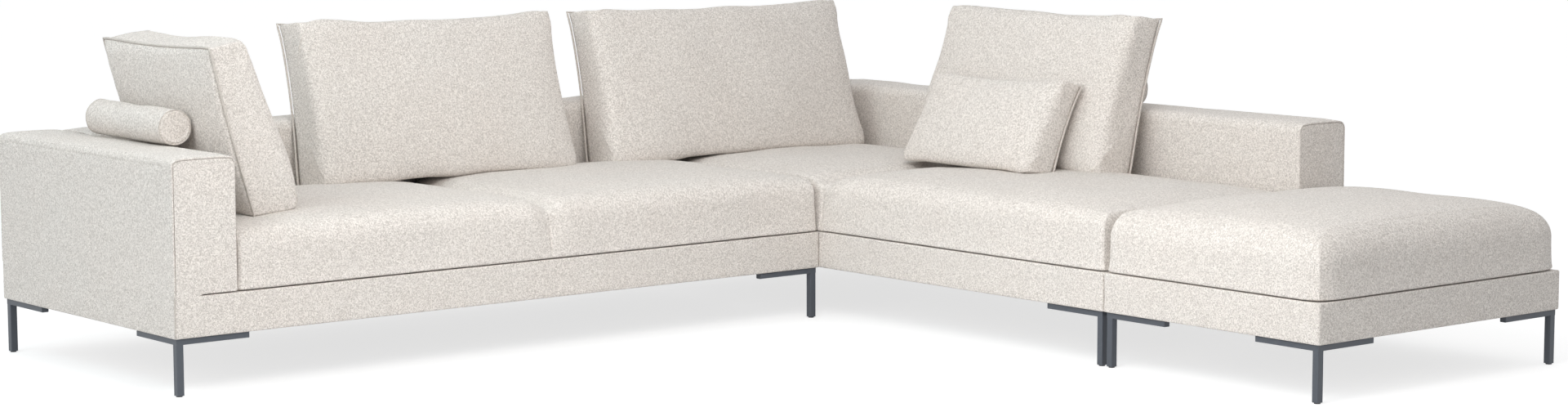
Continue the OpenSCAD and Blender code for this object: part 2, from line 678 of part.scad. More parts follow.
// The left and the middle back cushion lean on the front edge of their backrest: their
// feet stand as far out as the section of their back needs to clear that rounded edge.
top_edge = [for (k = [0:edge_steps])
    [edge_depth(top_r, k), back_h - edge_drop(edge_depth(top_r, k), top_r)]];
function clear_foot(z, w) = let (
    s = back_section(w, cushion_h, edge_cushion_back, cushion_lean))
    rest_gap + edge_play
    + max([for (p = top_edge) lookup(p[1] - z, [for (q = s) [q[1], q[0]]]) - p[0]]);
function back_foot(x, w) = [x, seat_depth - clear_foot(
    foot_z([x, side_foot_x - corner_x], 0, cushion_lean, w, cushion_h, cushion_front), w)];
left_foot = back_foot(left_cushion_mid, left_cushion_w);
middle_foot = back_foot(middle_cushion_mid, middle_cushion_w);
left_cushion_z = foot_z(left_foot, 0, cushion_lean, left_cushion_w, cushion_h, cushion_front);
middle_cushion_z = foot_z(middle_foot, 0, cushion_lean,
    middle_cushion_w, cushion_h, cushion_front);
right_cushion_z = foot_z([side_foot_x, right_cushion_mid], -90, right_lean,
    right_cushion_w, cushion_h, cushion_front);
arm_cushion_z = foot_z([arm_foot_x, arm_cushion_mid], 90, arm_cushion_lean,
    arm_cushion_w, cushion_h, arm_cushion_front);

module at_left_cushion() {
    stand([left_foot.x, left_foot.y, left_cushion_z], 0, cushion_lean) children();
}
module at_middle_cushion() {
    stand([middle_foot.x, middle_foot.y, middle_cushion_z], 0, cushion_lean) children();
}
module at_right_cushion() {
    stand([side_foot_x, right_cushion_mid, right_cushion_z], -90, right_lean) children();
}
module at_arm_cushion() {
    stand([arm_foot_x, arm_cushion_mid, arm_cushion_z], 90, arm_cushion_lean) children();
}

// The small cushion's back touches the right back cushion's front: at each height the
// front's depth is looked up, and the tightest height sets the place.
right_front = front_section(right_cushion_w, cushion_h, cushion_front, right_lean);
small_mid = right_cushion_mid + small_off;
function small_foot_x(z) = side_foot_x - rest_gap + min([
    for (p = back_section(small_w, small_h, small_back, small_lean))
    if (z + p[1] > right_cushion_z + 40)
    lookup(z + p[1] - right_cushion_z, [for (q = right_front) [q[1], q[0]]]) - p[0]]);
small_guess_x = small_foot_x(right_cushion_z);
small_z = foot_z([small_guess_x, small_mid], -90, small_lean, small_w, small_h, small_front);
small_x = small_foot_x(small_z);
module at_small_cushion() {
    stand([small_x, small_mid, small_z], -90, small_lean) children();
}

// A roll lies on the backrest or the arm, against its cushion's back. Its distance
// from the edge is found at the height of its axis over the middle of the top.
function roll_place(foot, z, cushion_w, back, lean, t) = let (
    guess = roll_axis_z(roll_d / 2, t),
    d = roll_behind(cushion_w, cushion_h, back, lean, guess - z) - foot,
    axis = roll_axis_z(d, t))
    [roll_behind(cushion_w, cushion_h, back, lean, axis - z) - foot, axis];
back_roll_at = roll_place(cushion_foot, right_cushion_z, right_cushion_w, cushion_back,
    right_lean, back_w);
arm_roll_at = roll_place(arm_cushion_foot, arm_cushion_z, arm_cushion_w, arm_cushion_back,
    arm_cushion_lean, arm_w);
module at_back_roll() {
    translate([corner_x + seat_depth + back_roll_at[0], right_cushion_mid + back_roll_off,
        back_roll_at[1]]) rotate([0, 0, 90]) children();
}
module at_arm_roll() {
    translate([arm_w - arm_roll_at[0], arm_cushion_mid + arm_roll_off, arm_roll_at[1]])
        rotate([0, 0, 90]) children();
}
module cushion_cover(w, h, f, b, lean) {
    difference() {
        pillow(w, h, f, b, lean);
        pillow_fill(w, h, f, fit_gap);
    }
}

// Two-seat element
module left_long_rails() {
    color(timber) in_group() difference() {
        long_rails_x(left_x, left_rows_y);
        bolt_holes(left_x, left_y);
    }
}
module left_cross_rails() {
    color(timber) in_group() difference() {
        for (x = left_rows_x, y = spaces(left_rows_y)) rail_block(rail_at(x), y);
        bolt_holes(left_x, left_y);
        link_screw_places(-1) link_screw_hole();
    }
}
module left_straps() {
    color(webbing) in_group()
        straps([left_rows_x[1], left_rows_x[3] + rail_t], [left_rows_y[0], left_rows_y[1] + rail_t]);
}
module left_base_cover() {
    color(fabric) in_group() base_cloth(left_x, left_y) link_screw_places(-1) link_screw_hole();
}
module left_dust_cover() { color(felt) in_group() dust_sheet(left_x, left_y); }
module left_seat_foam() { color(foam) in_group() left_foam(0); }
module left_seat_cover() {
    color(fabric) in_group() difference() {
        seat_form(left_seat, left_valley, undef, 5, 5);
        left_foam(fit_gap);
    }
}
module left_arm_frame() {
    color(plywood) in_group() box_frame(within([0, arm_w], pad_t), within(left_y, pad_t), frame_z);
}
module left_arm_cover() {
    color(fabric) in_group() difference() {
        padded_block(arm_w, depth);
        frame_room([0, arm_w], left_y);
    }
}
module left_back_frame() {
    color(plywood) in_group() box_frame(within(left_back_x, pad_t), within(rear_y, pad_t), frame_z);
}
module left_back_cover() {
    color(fabric) in_group() difference() {
        translate([left_back_x[1], seat_depth, 0]) rotate([0, 0, 90])
            padded_block(back_w, left_back_x[1] - left_back_x[0]);
        frame_room(left_back_x, rear_y);
    }
}
module left_legs() { color(steel) in_group() at_corners(left_x, left_y) leg(); }
module left_leg_bolts() { color(steel) in_group() bolts_of(left_x, left_y); }
module left_glides() { color(plastic) in_group() at_corners(left_x, left_y) glide(); }
module left_link_plates() {
    color(steel) in_group() difference() {
        for (y = link_rows) link_profile(y, plate_points);
        link_screw_places(-1) link_screw_hole();
    }
}
module left_link_screws() { color(steel) in_group() link_screw_places(-1) link_screw(); }

// Corner element
module corner_long_rails() {
    color(timber) in_group() difference() {
        long_rails_y(corner_yr, corner_rows_x);
        bolt_holes(corner_xr, corner_yr);
        link_screw_places(1) link_screw_hole();
    }
}
module corner_cross_rails() {
    color(timber) in_group() difference() {
        for (y = corner_rows_y, x = spaces(corner_rows_x)) rail_block(x, rail_at(y));
        bolt_holes(corner_xr, corner_yr);
    }
}
module corner_straps() {
    color(webbing) in_group() straps([corner_rows_x[0], corner_rows_x[1] + rail_t],
        [corner_rows_y[0], corner_rows_y[2] + rail_t]);
}
module corner_base_cover() {
    color(fabric) in_group() base_cloth(corner_xr, corner_yr) link_screw_places(1) link_screw_hole();
}
module corner_dust_cover() { color(felt) in_group() dust_sheet(corner_xr, corner_yr); }
module corner_seat_foam() { color(foam) in_group() corner_foam(0); }
module corner_seat_cover() {
    color(fabric) in_group() difference() {
        seat_form(corner_seat, undef, corner_valley, 5, 5);
        corner_foam(fit_gap);
    }
}
module corner_rear_frame() {
    color(plywood) in_group()
        box_frame(within(corner_rear_x, pad_t), within(rear_y, pad_t), frame_z);
}
module corner_side_frame() {
    color(plywood) in_group()
        box_frame(within(corner_side_x, pad_t), within(side_frame_y, pad_t), frame_z);
}
// The two covers meet in a mitre that runs from the inner to the outer corner.
module past_mitre(side) {
    translate([corner_x + seat_depth, seat_depth, body_z - 1]) rotate([0, 0, 45])
        translate([-corner_len, side > 0 ? -rest_gap / 2 : rest_gap / 2 - depth, 0])
        cube([2 * corner_len, depth, back_h]);
}
module corner_rooms() {
    frame_room(corner_rear_x, rear_y);
    frame_room(corner_side_x, side_frame_y);
}
module corner_rear_cover() {
    color(fabric) in_group() difference() {
        translate([corner_rear_x[1], seat_depth, 0]) rotate([0, 0, 90])
            padded_block(back_w, depth);
        past_mitre(-1);
        corner_rooms();
    }
}
module corner_side_cover() {
    color(fabric) in_group() difference() {
        translate([corner_side_x[0], wing_y, 0]) padded_block(back_w, corner_len);
        past_mitre(1);
        corner_rooms();
    }
}
module corner_legs() { color(steel) in_group() at_corners(corner_xr, corner_yr) leg(); }
module corner_leg_bolts() { color(steel) in_group() bolts_of(corner_xr, corner_yr); }
module corner_glides() { color(plastic) in_group() at_corners(corner_xr, corner_yr) glide(); }
module corner_link_hooks() {
    color(steel) in_group() difference() {
        for (y = link_rows) link_profile(y, hook_points);
        link_screw_places(1) link_screw_hole();
    }
}
module corner_link_screws() { color(steel) in_group() link_screw_places(1) link_screw(); }

// Pouf
module pouf_long_rails() {
    color(timber) in_group() difference() {
        long_rails_x(corner_xr, pouf_rows_y);
        bolt_holes(corner_xr, pouf_yr);
    }
}
module pouf_cross_rails() {
    color(timber) in_group() difference() {
        for (x = pouf_rows_x, y = spaces(pouf_rows_y)) rail_block(rail_at(x), y);
        bolt_holes(corner_xr, pouf_yr);
    }
}
module pouf_straps() {
    color(webbing) in_group() straps([pouf_rows_x[0], pouf_rows_x[1] + rail_t],
        [pouf_rows_y[0], pouf_rows_y[1] + rail_t]);
}
module pouf_base_cover() { color(fabric) in_group() base_cloth(corner_xr, pouf_yr); }
module pouf_dust_cover() { color(felt) in_group() dust_sheet(corner_xr, pouf_yr); }
module pouf_foam() { color(foam) in_group() pouf_foam_block(0); }
module pouf_cover() {
    color(fabric) in_group() difference() {
        seat_form(pouf_seat, undef, undef, 7, 6);
        pouf_foam_block(fit_gap);
    }
}
module pouf_legs() { color(steel) in_group() at_corners(corner_xr, pouf_yr) leg(); }
module pouf_leg_bolts() { color(steel) in_group() bolts_of(corner_xr, pouf_yr); }
module pouf_glides() { color(plastic) in_group() at_corners(corner_xr, pouf_yr) glide(); }

// Loose cushions and rolls
module arm_cushion_cover() {
    color(fabric) in_group() at_arm_cushion()
        cushion_cover(arm_cushion_w, cushion_h, arm_cushion_front, arm_cushion_back,
            arm_cushion_lean);
}
module arm_cushion_fill() {
    color(fleece) in_group() at_arm_cushion()
        pillow_fill(arm_cushion_w, cushion_h, arm_cushion_front, 0);
}
module arm_roll_cover() { color(fabric) in_group() at_arm_roll() roll_cover(arm_cushion_w - roll_short); }
module arm_roll_fill() { color(fleece) in_group() at_arm_roll() roll_core(arm_cushion_w - roll_short, 0); }
module left_cushion_cover() {
    color(fabric) in_group() at_left_cushion()
        cushion_cover(left_cushion_w, cushion_h, cushion_front, edge_cushion_back,
            cushion_lean);
}
module left_cushion_fill() {
    color(fleece) in_group() at_left_cushion()
        pillow_fill(left_cushion_w, cushion_h, cushion_front, 0);
}
module middle_cushion_cover() {
    color(fabric) in_group() at_middle_cushion()
        cushion_cover(middle_cushion_w, cushion_h, cushion_front, edge_cushion_back,
            cushion_lean);
}
module middle_cushion_fill() {
    color(fleece) in_group() at_middle_cushion()
        pillow_fill(middle_cushion_w, cushion_h, cushion_front, 0);
}
module right_cushion_cover() {
    color(fabric) in_group() at_right_cushion()
        cushion_cover(right_cushion_w, cushion_h, cushion_front, cushion_back, right_lean);
}
module right_cushion_fill() {
    color(fleece) in_group() at_right_cushion()
        pillow_fill(right_cushion_w, cushion_h, cushion_front, 0);
}
module back_roll_cover() {
    color(fabric) in_group() at_back_roll() roll_cover(right_cushion_w - roll_short);
}
module back_roll_fill() {
    color(fleece) in_group() at_back_roll() roll_core(right_cushion_w - roll_short, 0);
}
module small_cushion_cover() {
    color(fabric) in_group() at_small_cushion()
        cushion_cover(small_w, small_h, small_front, small_back, small_lean);
}
module small_cushion_fill() {
    color(fleece) in_group() at_small_cushion() pillow_fill(small_w, small_h, small_front, 0);
}

left_long_rails();
left_cross_rails();
left_straps();
left_base_cover();
left_dust_cover();
left_seat_foam();
left_seat_cover();
left_arm_frame();
left_arm_cover();
left_back_frame();
left_back_cover();
left_legs();
left_leg_bolts();
left_glides();
left_link_plates();
left_link_screws();
corner_long_rails();
corner_cross_rails();
corner_straps();
corner_base_cover();
corner_dust_cover();
corner_seat_foam();
corner_seat_cover();
corner_rear_frame();
corner_side_frame();
corner_rear_cover();
corner_side_cover();
corner_legs();
corner_leg_bolts();
corner_glides();
corner_link_hooks();
corner_link_screws();
pouf_long_rails();
pouf_cross_rails();
pouf_straps();
pouf_base_cover();
pouf_dust_cover();
pouf_foam();
pouf_cover();
pouf_legs();
pouf_leg_bolts();
pouf_glides();
arm_cushion_cover();
arm_cushion_fill();
arm_roll_cover();
arm_roll_fill();
left_cushion_cover();
left_cushion_fill();
middle_cushion_cover();
middle_cushion_fill();
right_cushion_cover();
right_cushion_fill();
back_roll_cover();
back_roll_fill();
small_cushion_cover();
small_cushion_fill();
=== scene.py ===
"""Looks of a corner sofa with a pouf, loose back cushions and two rolls.

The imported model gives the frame. Every soft solid of it is dressed by a padded form that
is built here from the same sizes, filled by a short cloth simulation and sewn afterwards.
"""
import logging
import math
from dataclasses import dataclass
from enum import Enum
from typing import Callable, ClassVar, Iterable

import bmesh
import bpy
import numpy as np
from mathutils import Matrix, Vector


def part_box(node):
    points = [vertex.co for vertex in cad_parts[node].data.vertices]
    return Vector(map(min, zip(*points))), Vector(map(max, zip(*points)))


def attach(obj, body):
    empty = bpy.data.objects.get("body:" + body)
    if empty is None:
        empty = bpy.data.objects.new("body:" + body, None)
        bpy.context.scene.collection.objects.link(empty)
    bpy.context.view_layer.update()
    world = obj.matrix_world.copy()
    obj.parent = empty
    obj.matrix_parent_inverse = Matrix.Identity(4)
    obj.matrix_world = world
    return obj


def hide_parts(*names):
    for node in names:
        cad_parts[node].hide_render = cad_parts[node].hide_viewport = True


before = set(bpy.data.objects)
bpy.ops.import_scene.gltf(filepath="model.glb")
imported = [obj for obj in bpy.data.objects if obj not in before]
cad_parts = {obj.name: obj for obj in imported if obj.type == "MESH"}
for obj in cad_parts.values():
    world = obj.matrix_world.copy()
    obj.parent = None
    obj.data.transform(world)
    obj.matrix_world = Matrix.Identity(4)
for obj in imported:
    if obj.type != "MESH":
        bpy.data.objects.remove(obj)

log = logging.getLogger("corner_sofa")
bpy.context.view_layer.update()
MM = 0.001
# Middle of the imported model's box in the plan.
GROUP_MIDDLE = np.array([1.5653, -0.4803, 0.0])
# Folds of the arm, the backrests and the bases that turn by more than this stay sharp.
SHARP = math.radians(38)
# Stations beside a seam, in millimetres from it.
SEAM_STATIONS = (0, 2, 4, 7, 11, 17, 26, 38, 54)
# Where the arm's front panel, seen from its outer side, no longer runs on into the base,
# and the length over which the edge between them comes back.
PANEL_END, PANEL_FADE = 0.105, 0.035


class Slot(Enum):
    """Material slots of the record."""

    COVER = "cover_fabric"
    FILLING = "filling"
    FOAM = "foam"
    TIMBER = "timber"
    BOARD = "board"
    LEG = "leg_steel"
    FIXING = "fixing_steel"
    GLIDE = "glide_plastic"
    WEBBING = "webbing"
    FELT = "dust_felt"


class Body(Enum):
    """Bodies of the model that pieces ride on."""

    LEFT = "left_unit"
    CORNER = "corner_unit"
    POUF = "pouf"
    ARM_CUSHION = "arm_cushion"
    ARM_ROLL = "arm_roll"
    LEFT_CUSHION = "left_cushion"
    MIDDLE_CUSHION = "middle_cushion"
    RIGHT_CUSHION = "right_cushion"
    BACK_ROLL = "back_roll"
    SMALL_CUSHION = "small_cushion"


class Along(Enum):
    """Direction in which an arm or a backrest runs."""

    X = "x"
    Y = "y"


@dataclass(frozen=True)
class Plan:
    """Sizes of the group in metres. The left element's front left corner is at 0, 0.

    Attributes:
        depth: depth of the elements and the pouf.
        left_length: length of the left element.
        unit_gap: gap between neighbouring elements.
        wing_length: how far the corner element reaches forwards past the left one.
        pouf_length: length of the pouf.
        arm_width: width of the arm.
        back_width: thickness of the backrests.
        leg_height: height of the legs.
        base_top: height of the bases' top.
        rest: play between pieces that lie on or against each other.
        seat_height: height of the seats without their crowns.
        back_height: height of the arm and the backrests.
    """

    depth: float = 0.980
    left_length: float = 2.150
    unit_gap: float = 0.0006
    wing_length: float = 1.180
    pouf_length: float = 0.760
    arm_width: float = 0.185
    back_width: float = 0.195
    leg_height: float = 0.150
    base_top: float = 0.257
    rest: float = 0.0003
    seat_height: float = 0.420
    back_height: float = 0.608

    @property
    def body_low(self) -> float:
        """Height at which seats, arm and backrests start."""
        return self.base_top + self.rest

    @property
    def corner_x(self) -> float:
        """Left side of the corner element."""
        return self.left_length + self.unit_gap

    @property
    def seat_depth(self) -> float:
        """Depth of a seat, up to its backrest."""
        return self.depth - self.back_width

    @property
    def right_x(self) -> float:
        """Right side of the group."""
        return self.corner_x + self.depth

    @property
    def pouf_y(self) -> float:
        """Front side of the pouf."""
        return -self.wing_length - self.unit_gap - self.pouf_length


PLAN = Plan()


# Mesh helpers
def to_row(points: np.ndarray) -> np.ndarray:
    """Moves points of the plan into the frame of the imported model."""
    return points - GROUP_MIDDLE


def make_piece(name: str, points: np.ndarray, faces: Iterable[tuple[int, ...]]
               ) -> bpy.types.Object:
    """Makes a smooth mesh object whose faces look outwards.

    Args:
        name: name of the piece.
        points: corners in metres, in the frame of the model.
        faces: corner numbers of each face.
    Returns:
        The new object, linked to the scene.
    """
    mesh = bpy.data.meshes.new(name)
    mesh.from_pydata([tuple(p) for p in points], [], [tuple(f) for f in faces])
    work = bmesh.new()
    work.from_mesh(mesh)
    bmesh.ops.recalc_face_normals(work, faces=work.faces)
    work.to_mesh(mesh)
    work.free()
    mesh.shade_smooth()
    piece = bpy.data.objects.new(name, mesh)
    bpy.context.scene.collection.objects.link(piece)
    return piece


def read_points(piece: bpy.types.Object) -> np.ndarray:
    """Reads the corners of a piece's mesh.

    Args:
        piece: the piece.
    Returns:
        Rows of x, y, z.
    """
    flat = np.zeros(len(piece.data.vertices) * 3)
    piece.data.vertices.foreach_get("co", flat)
    return flat.reshape(-1, 3)


def write_points(piece: bpy.types.Object, points: np.ndarray) -> None:
    """Sets the corners of a piece's mesh."""
    piece.data.vertices.foreach_set("co", np.ascontiguousarray(points, float).ravel())
    piece.data.update()


def read_normals(piece: bpy.types.Object) -> np.ndarray:
    """Reads the outward directions at the corners of a piece's mesh.

    Args:
        piece: the piece.
    Returns:
        Rows of x, y, z.
    """
    flat = np.zeros(len(piece.data.vertices) * 3, np.float32)
    piece.data.vertex_normals.foreach_get("vector", flat)
    return flat.reshape(-1, 3).astype(float)


def even_out(piece: bpy.types.Object, values: np.ndarray, rounds: int) -> np.ndarray:
    """Evens out one number per corner with those of its neighbours.

    Args:
        piece: the piece whose mesh the numbers belong to.
        values: one number for each corner.
        rounds: how often each corner is mixed with its neighbours.
    Returns:
        The evened numbers.
    """
    pairs = np.zeros(len(piece.data.edges) * 2, int)
    piece.data.edges.foreach_get("vertices", pairs)
    one, two = pairs.reshape(-1, 2).T
    count = np.maximum(np.bincount(pairs, minlength=len(values)), 1)
    for _ in range(rounds):
        total = (np.bincount(one, values[two], len(values))
                 + np.bincount(two, values[one], len(values)))
        values = 0.5 * values + 0.5 * total / count
    return values


def ripple(points: np.ndarray, length: float, seed: int) -> np.ndarray:
    """Smooth seeded waves over points, from about -1 to 1.

    Args:
        points: where the waves are read.
        length: length of a wave in metres.
        seed: picks the waves.
    Returns:
        One number for each point.
    """
    waves, usual_sum = 9, 3.2
    rng = np.random.default_rng(seed)
    total = np.zeros(len(points))
    for _ in range(waves):
        way = rng.normal(size=3)
        way *= 2 * math.pi / (length * rng.uniform(0.75, 1.35) * np.linalg.norm(way))
        total += np.sin(points @ way + rng.uniform(0, 2 * math.pi))
    return total / usual_sum


def crease(distance: np.ndarray, width: float) -> np.ndarray:
    """A soft line: 1 at no distance, and nothing far from it."""
    return np.exp(-((distance / width) ** 2))


def pad_share(place: np.ndarray, low: float, high: float) -> np.ndarray:
    """Crown of a pad: nothing at its edges, full in its middle."""
    return 1 - np.abs(2 * (place - low) / (high - low) - 1).clip(0, 1) ** 4


def panel_share(from_outer: np.ndarray) -> np.ndarray:
    """1 where the arm's front panel runs on into the base, 0 where an edge parts them."""
    return np.clip((PANEL_END - from_outer) / PANEL_FADE, 0, 1)


def quarter(radius: float, steps: int) -> list[tuple[float, float]]:
    """Points of a quarter round over an edge.

    Args:
        radius: radius of the rounding.
        steps: number of steps round it.
    Returns:
        For each point how far it lies inside the wall, and how far below the top.
    """
    turns = [math.pi / 2 * k / steps for k in range(steps + 1)]
    return [(radius * (1 - math.sin(a)), radius * (1 - math.cos(a))) for a in turns]


def rim_of(nu: int, nv: int) -> list[tuple[int, int]]:
    """Goes once round the rim of a grid.

    Args:
        nu: points of the grid one way.
        nv: points of the grid the other way.
    Returns:
        The place in the grid of each point of the rim.
    """
    return ([(i, 0) for i in range(nu - 1)] + [(nu - 1, j) for j in range(nv - 1)]
            + [(i, nv - 1) for i in range(nu - 1, 0, -1)]
            + [(0, j) for j in range(nv - 1, 0, -1)])


@dataclass(frozen=True)
class Pucker:
    """Short waves in the cloth that fade away from a seam.

    Attributes:
        length: length of a wave in metres.
        reach: how far from the seam they fade.
        height: their height.
    """

    length: float
    reach: float
    height: float

    def push(self, points: np.ndarray, near: np.ndarray, seed: int) -> np.ndarray:
        """How far the waves push out points, which lie so near to the seam."""
        return ripple(points, self.length, seed) * np.exp(-near / self.reach) * self.height


@dataclass(frozen=True)
class Hollow:
    """Soft hollows over a face of cloth.

    Attributes:
        length: length of a wave in metres.
        rise: how much of the waves stands out, 0 for hollows alone.
        depth: depth of a hollow.
    """

    length: float
    rise: float
    depth: float

    def push(self, points: np.ndarray, seed: int) -> np.ndarray:
        """How far the waves push out points."""
        return np.clip(ripple(points, self.length, seed), None, self.rise) * self.depth


def stations(low: float, high: float, step: float, marks: Iterable[float] = (),
             corner: float = 0.006) -> np.ndarray:
    """Stations across a form, close together at its ends and near its seams.

    Args:
        low: first station.
        high: last station.
        step: distance between stations in the open.
        marks: places of the seams.
        corner: rounding of the corners, which gets stations of its own.
    Returns:
        The stations in rising order.
    """
    fixed = [low + down for _, down in quarter(corner, 4)]
    fixed += [high - (f - low) for f in fixed]
    for mark in marks:
        fixed += [mark + s * d * MM for s in (-1, 1) for d in SEAM_STATIONS]
    inner_low, inner_high = low + corner, high - corner
    fixed = sorted(set(round(f, 6) for f in fixed if low <= f <= high))
    filled = [fixed[0]]
    for a, b in zip(fixed, fixed[1:]):
        if b - a > 1.5 * step and b > inner_low and a < inner_high:
            count = max(1, round((b - a) / step))
            filled += [a + (b - a) * k / count for k in range(1, count)]
        filled.append(b)
    return np.array(filled)


@dataclass
class Edge:
    """One ring round a form.

    Attributes:
        inset: how far it lies inside the form's full outline.
        height: how far down the form it lies, measured from its first cap.
    """

    inset: np.ndarray | float
    height: np.ndarray | float


def draw_in(u: np.ndarray, v: np.ndarray, radii: tuple[float, ...]) -> np.ndarray:
    """Rounds the four corners of a grid.

    Args:
        u: first coordinates of the grid.
        v: second coordinates of the grid.
        radii: rounding at low u low v, high u low v, high u high v, low u high v.
    Returns:
        The grid's points, of shape (nu, nv, 2).
    """
    points = np.stack([u, v], -1)
    corners = [(u.min(), v.min(), 1, 1), (u.max(), v.min(), -1, 1),
               (u.max(), v.max(), -1, -1), (u.min(), v.max(), 1, -1)]
    for (cu, cv, su, sv), radius in zip(corners, radii):
        in_u = np.clip(radius - (u - cu) * su, 0, None)
        in_v = np.clip(radius - (v - cv) * sv, 0, None)
        far = np.hypot(in_u, in_v)
        both = (in_u > 0) & (in_v > 0)
        share = np.where(both, np.maximum(in_u, in_v) / np.maximum(far, 1e-9), 1)
        points[..., 0] += np.where(both, su * in_u * (1 - share), 0)
        points[..., 1] += np.where(both, sv * in_v * (1 - share), 0)
    return points


@dataclass
class CappedForm:
    """A closed form: a gridded cap, rings down its walls and a second cap.

    Attributes:
        us: stations across, already drawn in by cap_inset.
        vs: stations the other way, drawn in too.
        radii: rounding of the cap's corners.
        cap_inset: how far the caps lie inside the full outline.
        squareness: 0 for round corners at full size, 1 for square ones.
    """

    us: np.ndarray
    vs: np.ndarray
    radii: tuple[float, ...]
    cap_inset: float
    squareness: float | Callable[[np.ndarray], np.ndarray] = 0.0

    def outline(self) -> tuple[np.ndarray, np.ndarray, np.ndarray]:
        """Lays out the cap and its edge.

        Returns:
            Grid of the cap, the numbers of its edge points in order, and outward ways.
        """
        nu, nv = len(self.us), len(self.vs)
        grid = draw_in(*np.meshgrid(self.us, self.vs, indexing="ij"), self.radii)
        numbers = np.array([i * nv + j for i, j in rim_of(nu, nv)])
        edge = grid.reshape(-1, 2)[numbers]
        run = np.roll(edge, -1, 0) - np.roll(edge, 1, 0)
        out = np.stack([run[:, 1], -run[:, 0]], -1)
        out /= np.linalg.norm(out, axis=1, keepdims=True)
        square = self.squareness(edge) if callable(self.squareness) else self.squareness
        out /= (np.abs(out).max(1) ** square)[:, None]
        return grid.reshape(-1, 2), numbers, out

    def build(self, rings: list[Edge], first: float, last: float | None
              ) -> tuple[np.ndarray, list[tuple[int, ...]]]:
        """Lays out the form.

        Args:
            rings: edges from the first cap to the second.
            first: height of the first cap.
            last: height of the second cap, or None to close the form with one face.
        Returns:
            Points as u, v, height, and faces.
        """
        grid, numbers, out = self.outline()
        nu, nv, n = len(self.us), len(self.vs), len(numbers)
        edge = grid[numbers]
        parts = [np.column_stack([grid, np.full(len(grid), first)])]
        for ring in rings:
            flat = edge + out * (self.cap_inset - np.broadcast_to(ring.inset, n))[:, None]
            parts.append(np.column_stack([flat, np.broadcast_to(ring.height, n)]))
        faces = [(i * nv + j, i * nv + j + 1, (i + 1) * nv + j + 1, (i + 1) * nv + j)
                 for i in range(nu - 1) for j in range(nv - 1)]
        loops = [list(numbers)]
        start = len(grid)
        for _ in rings:
            loops.append(list(range(start, start + n)))
            start += n
        if last is not None:
            rim = set(numbers.tolist())
            inner = [k for k in range(len(grid)) if k not in rim]
            place = {int(k): loops[-1][m] for m, k in enumerate(numbers)}
            place.update({k: start + m for m, k in enumerate(inner)})
            parts.append(np.column_stack([grid[inner], np.full(len(inner), last)]))
            faces += [tuple(place[k] for k in reversed(f)) for f in faces]
        else:
            faces.append(tuple(loops[-1]))
        for one, two in zip(loops, loops[1:]):
            faces += [(one[k], one[(k + 1) % n], two[(k + 1) % n], two[k]) for k in range(n)]
        return np.concatenate(parts), faces


def tube(name: str, path: np.ndarray, radius: float, sides: int = 8,
         closed: bool = True) -> bpy.types.Object:
    """A round cord of cloth along a path, for a sewn edge.

    Args:
        name: name of the piece.
        path: points of the path in metres.
        radius: radius of the cord.
        sides: corners of its section.
        closed: whether the path runs back to its start.
    Returns:
        The new object.
    """
    closest = 0.8 * radius
    kept = [path[0]]
    for point in path[1:]:
        if np.linalg.norm(point - kept[-1]) > closest:
            kept.append(point)
    if closed and np.linalg.norm(kept[-1] - kept[0]) < closest:
        kept.pop()
    path = np.array(kept)
    n = len(path)
    ahead = np.roll(path, -1, 0) - np.roll(path, 1, 0)
    if not closed:
        ahead[0], ahead[-1] = path[1] - path[0], path[-1] - path[-2]
    ahead /= np.linalg.norm(ahead, axis=1, keepdims=True)
    side = np.cross(ahead[0], [0.3, 0.2, 0.93])
    side /= np.linalg.norm(side)
    rings = []
    for k in range(n):
        side = side - ahead[k] * (side @ ahead[k])
        side /= np.linalg.norm(side)
        other = np.cross(ahead[k], side)
        turn = np.linspace(0, 2 * math.pi, sides, endpoint=False)
        rings.append(path[k] + radius * (np.cos(turn)[:, None] * side
                                         + np.sin(turn)[:, None] * other))
    faces = [(k * sides + m, k * sides + (m + 1) % sides,
              ((k + 1) % n) * sides + (m + 1) % sides, ((k + 1) % n) * sides + m)
             for k in range(n if closed else n - 1) for m in range(sides)]
    if not closed:
        faces += [tuple(range(sides)), tuple((n - 1) * sides + m for m in range(sides))]
    return make_piece(name, np.concatenate(rings), faces)


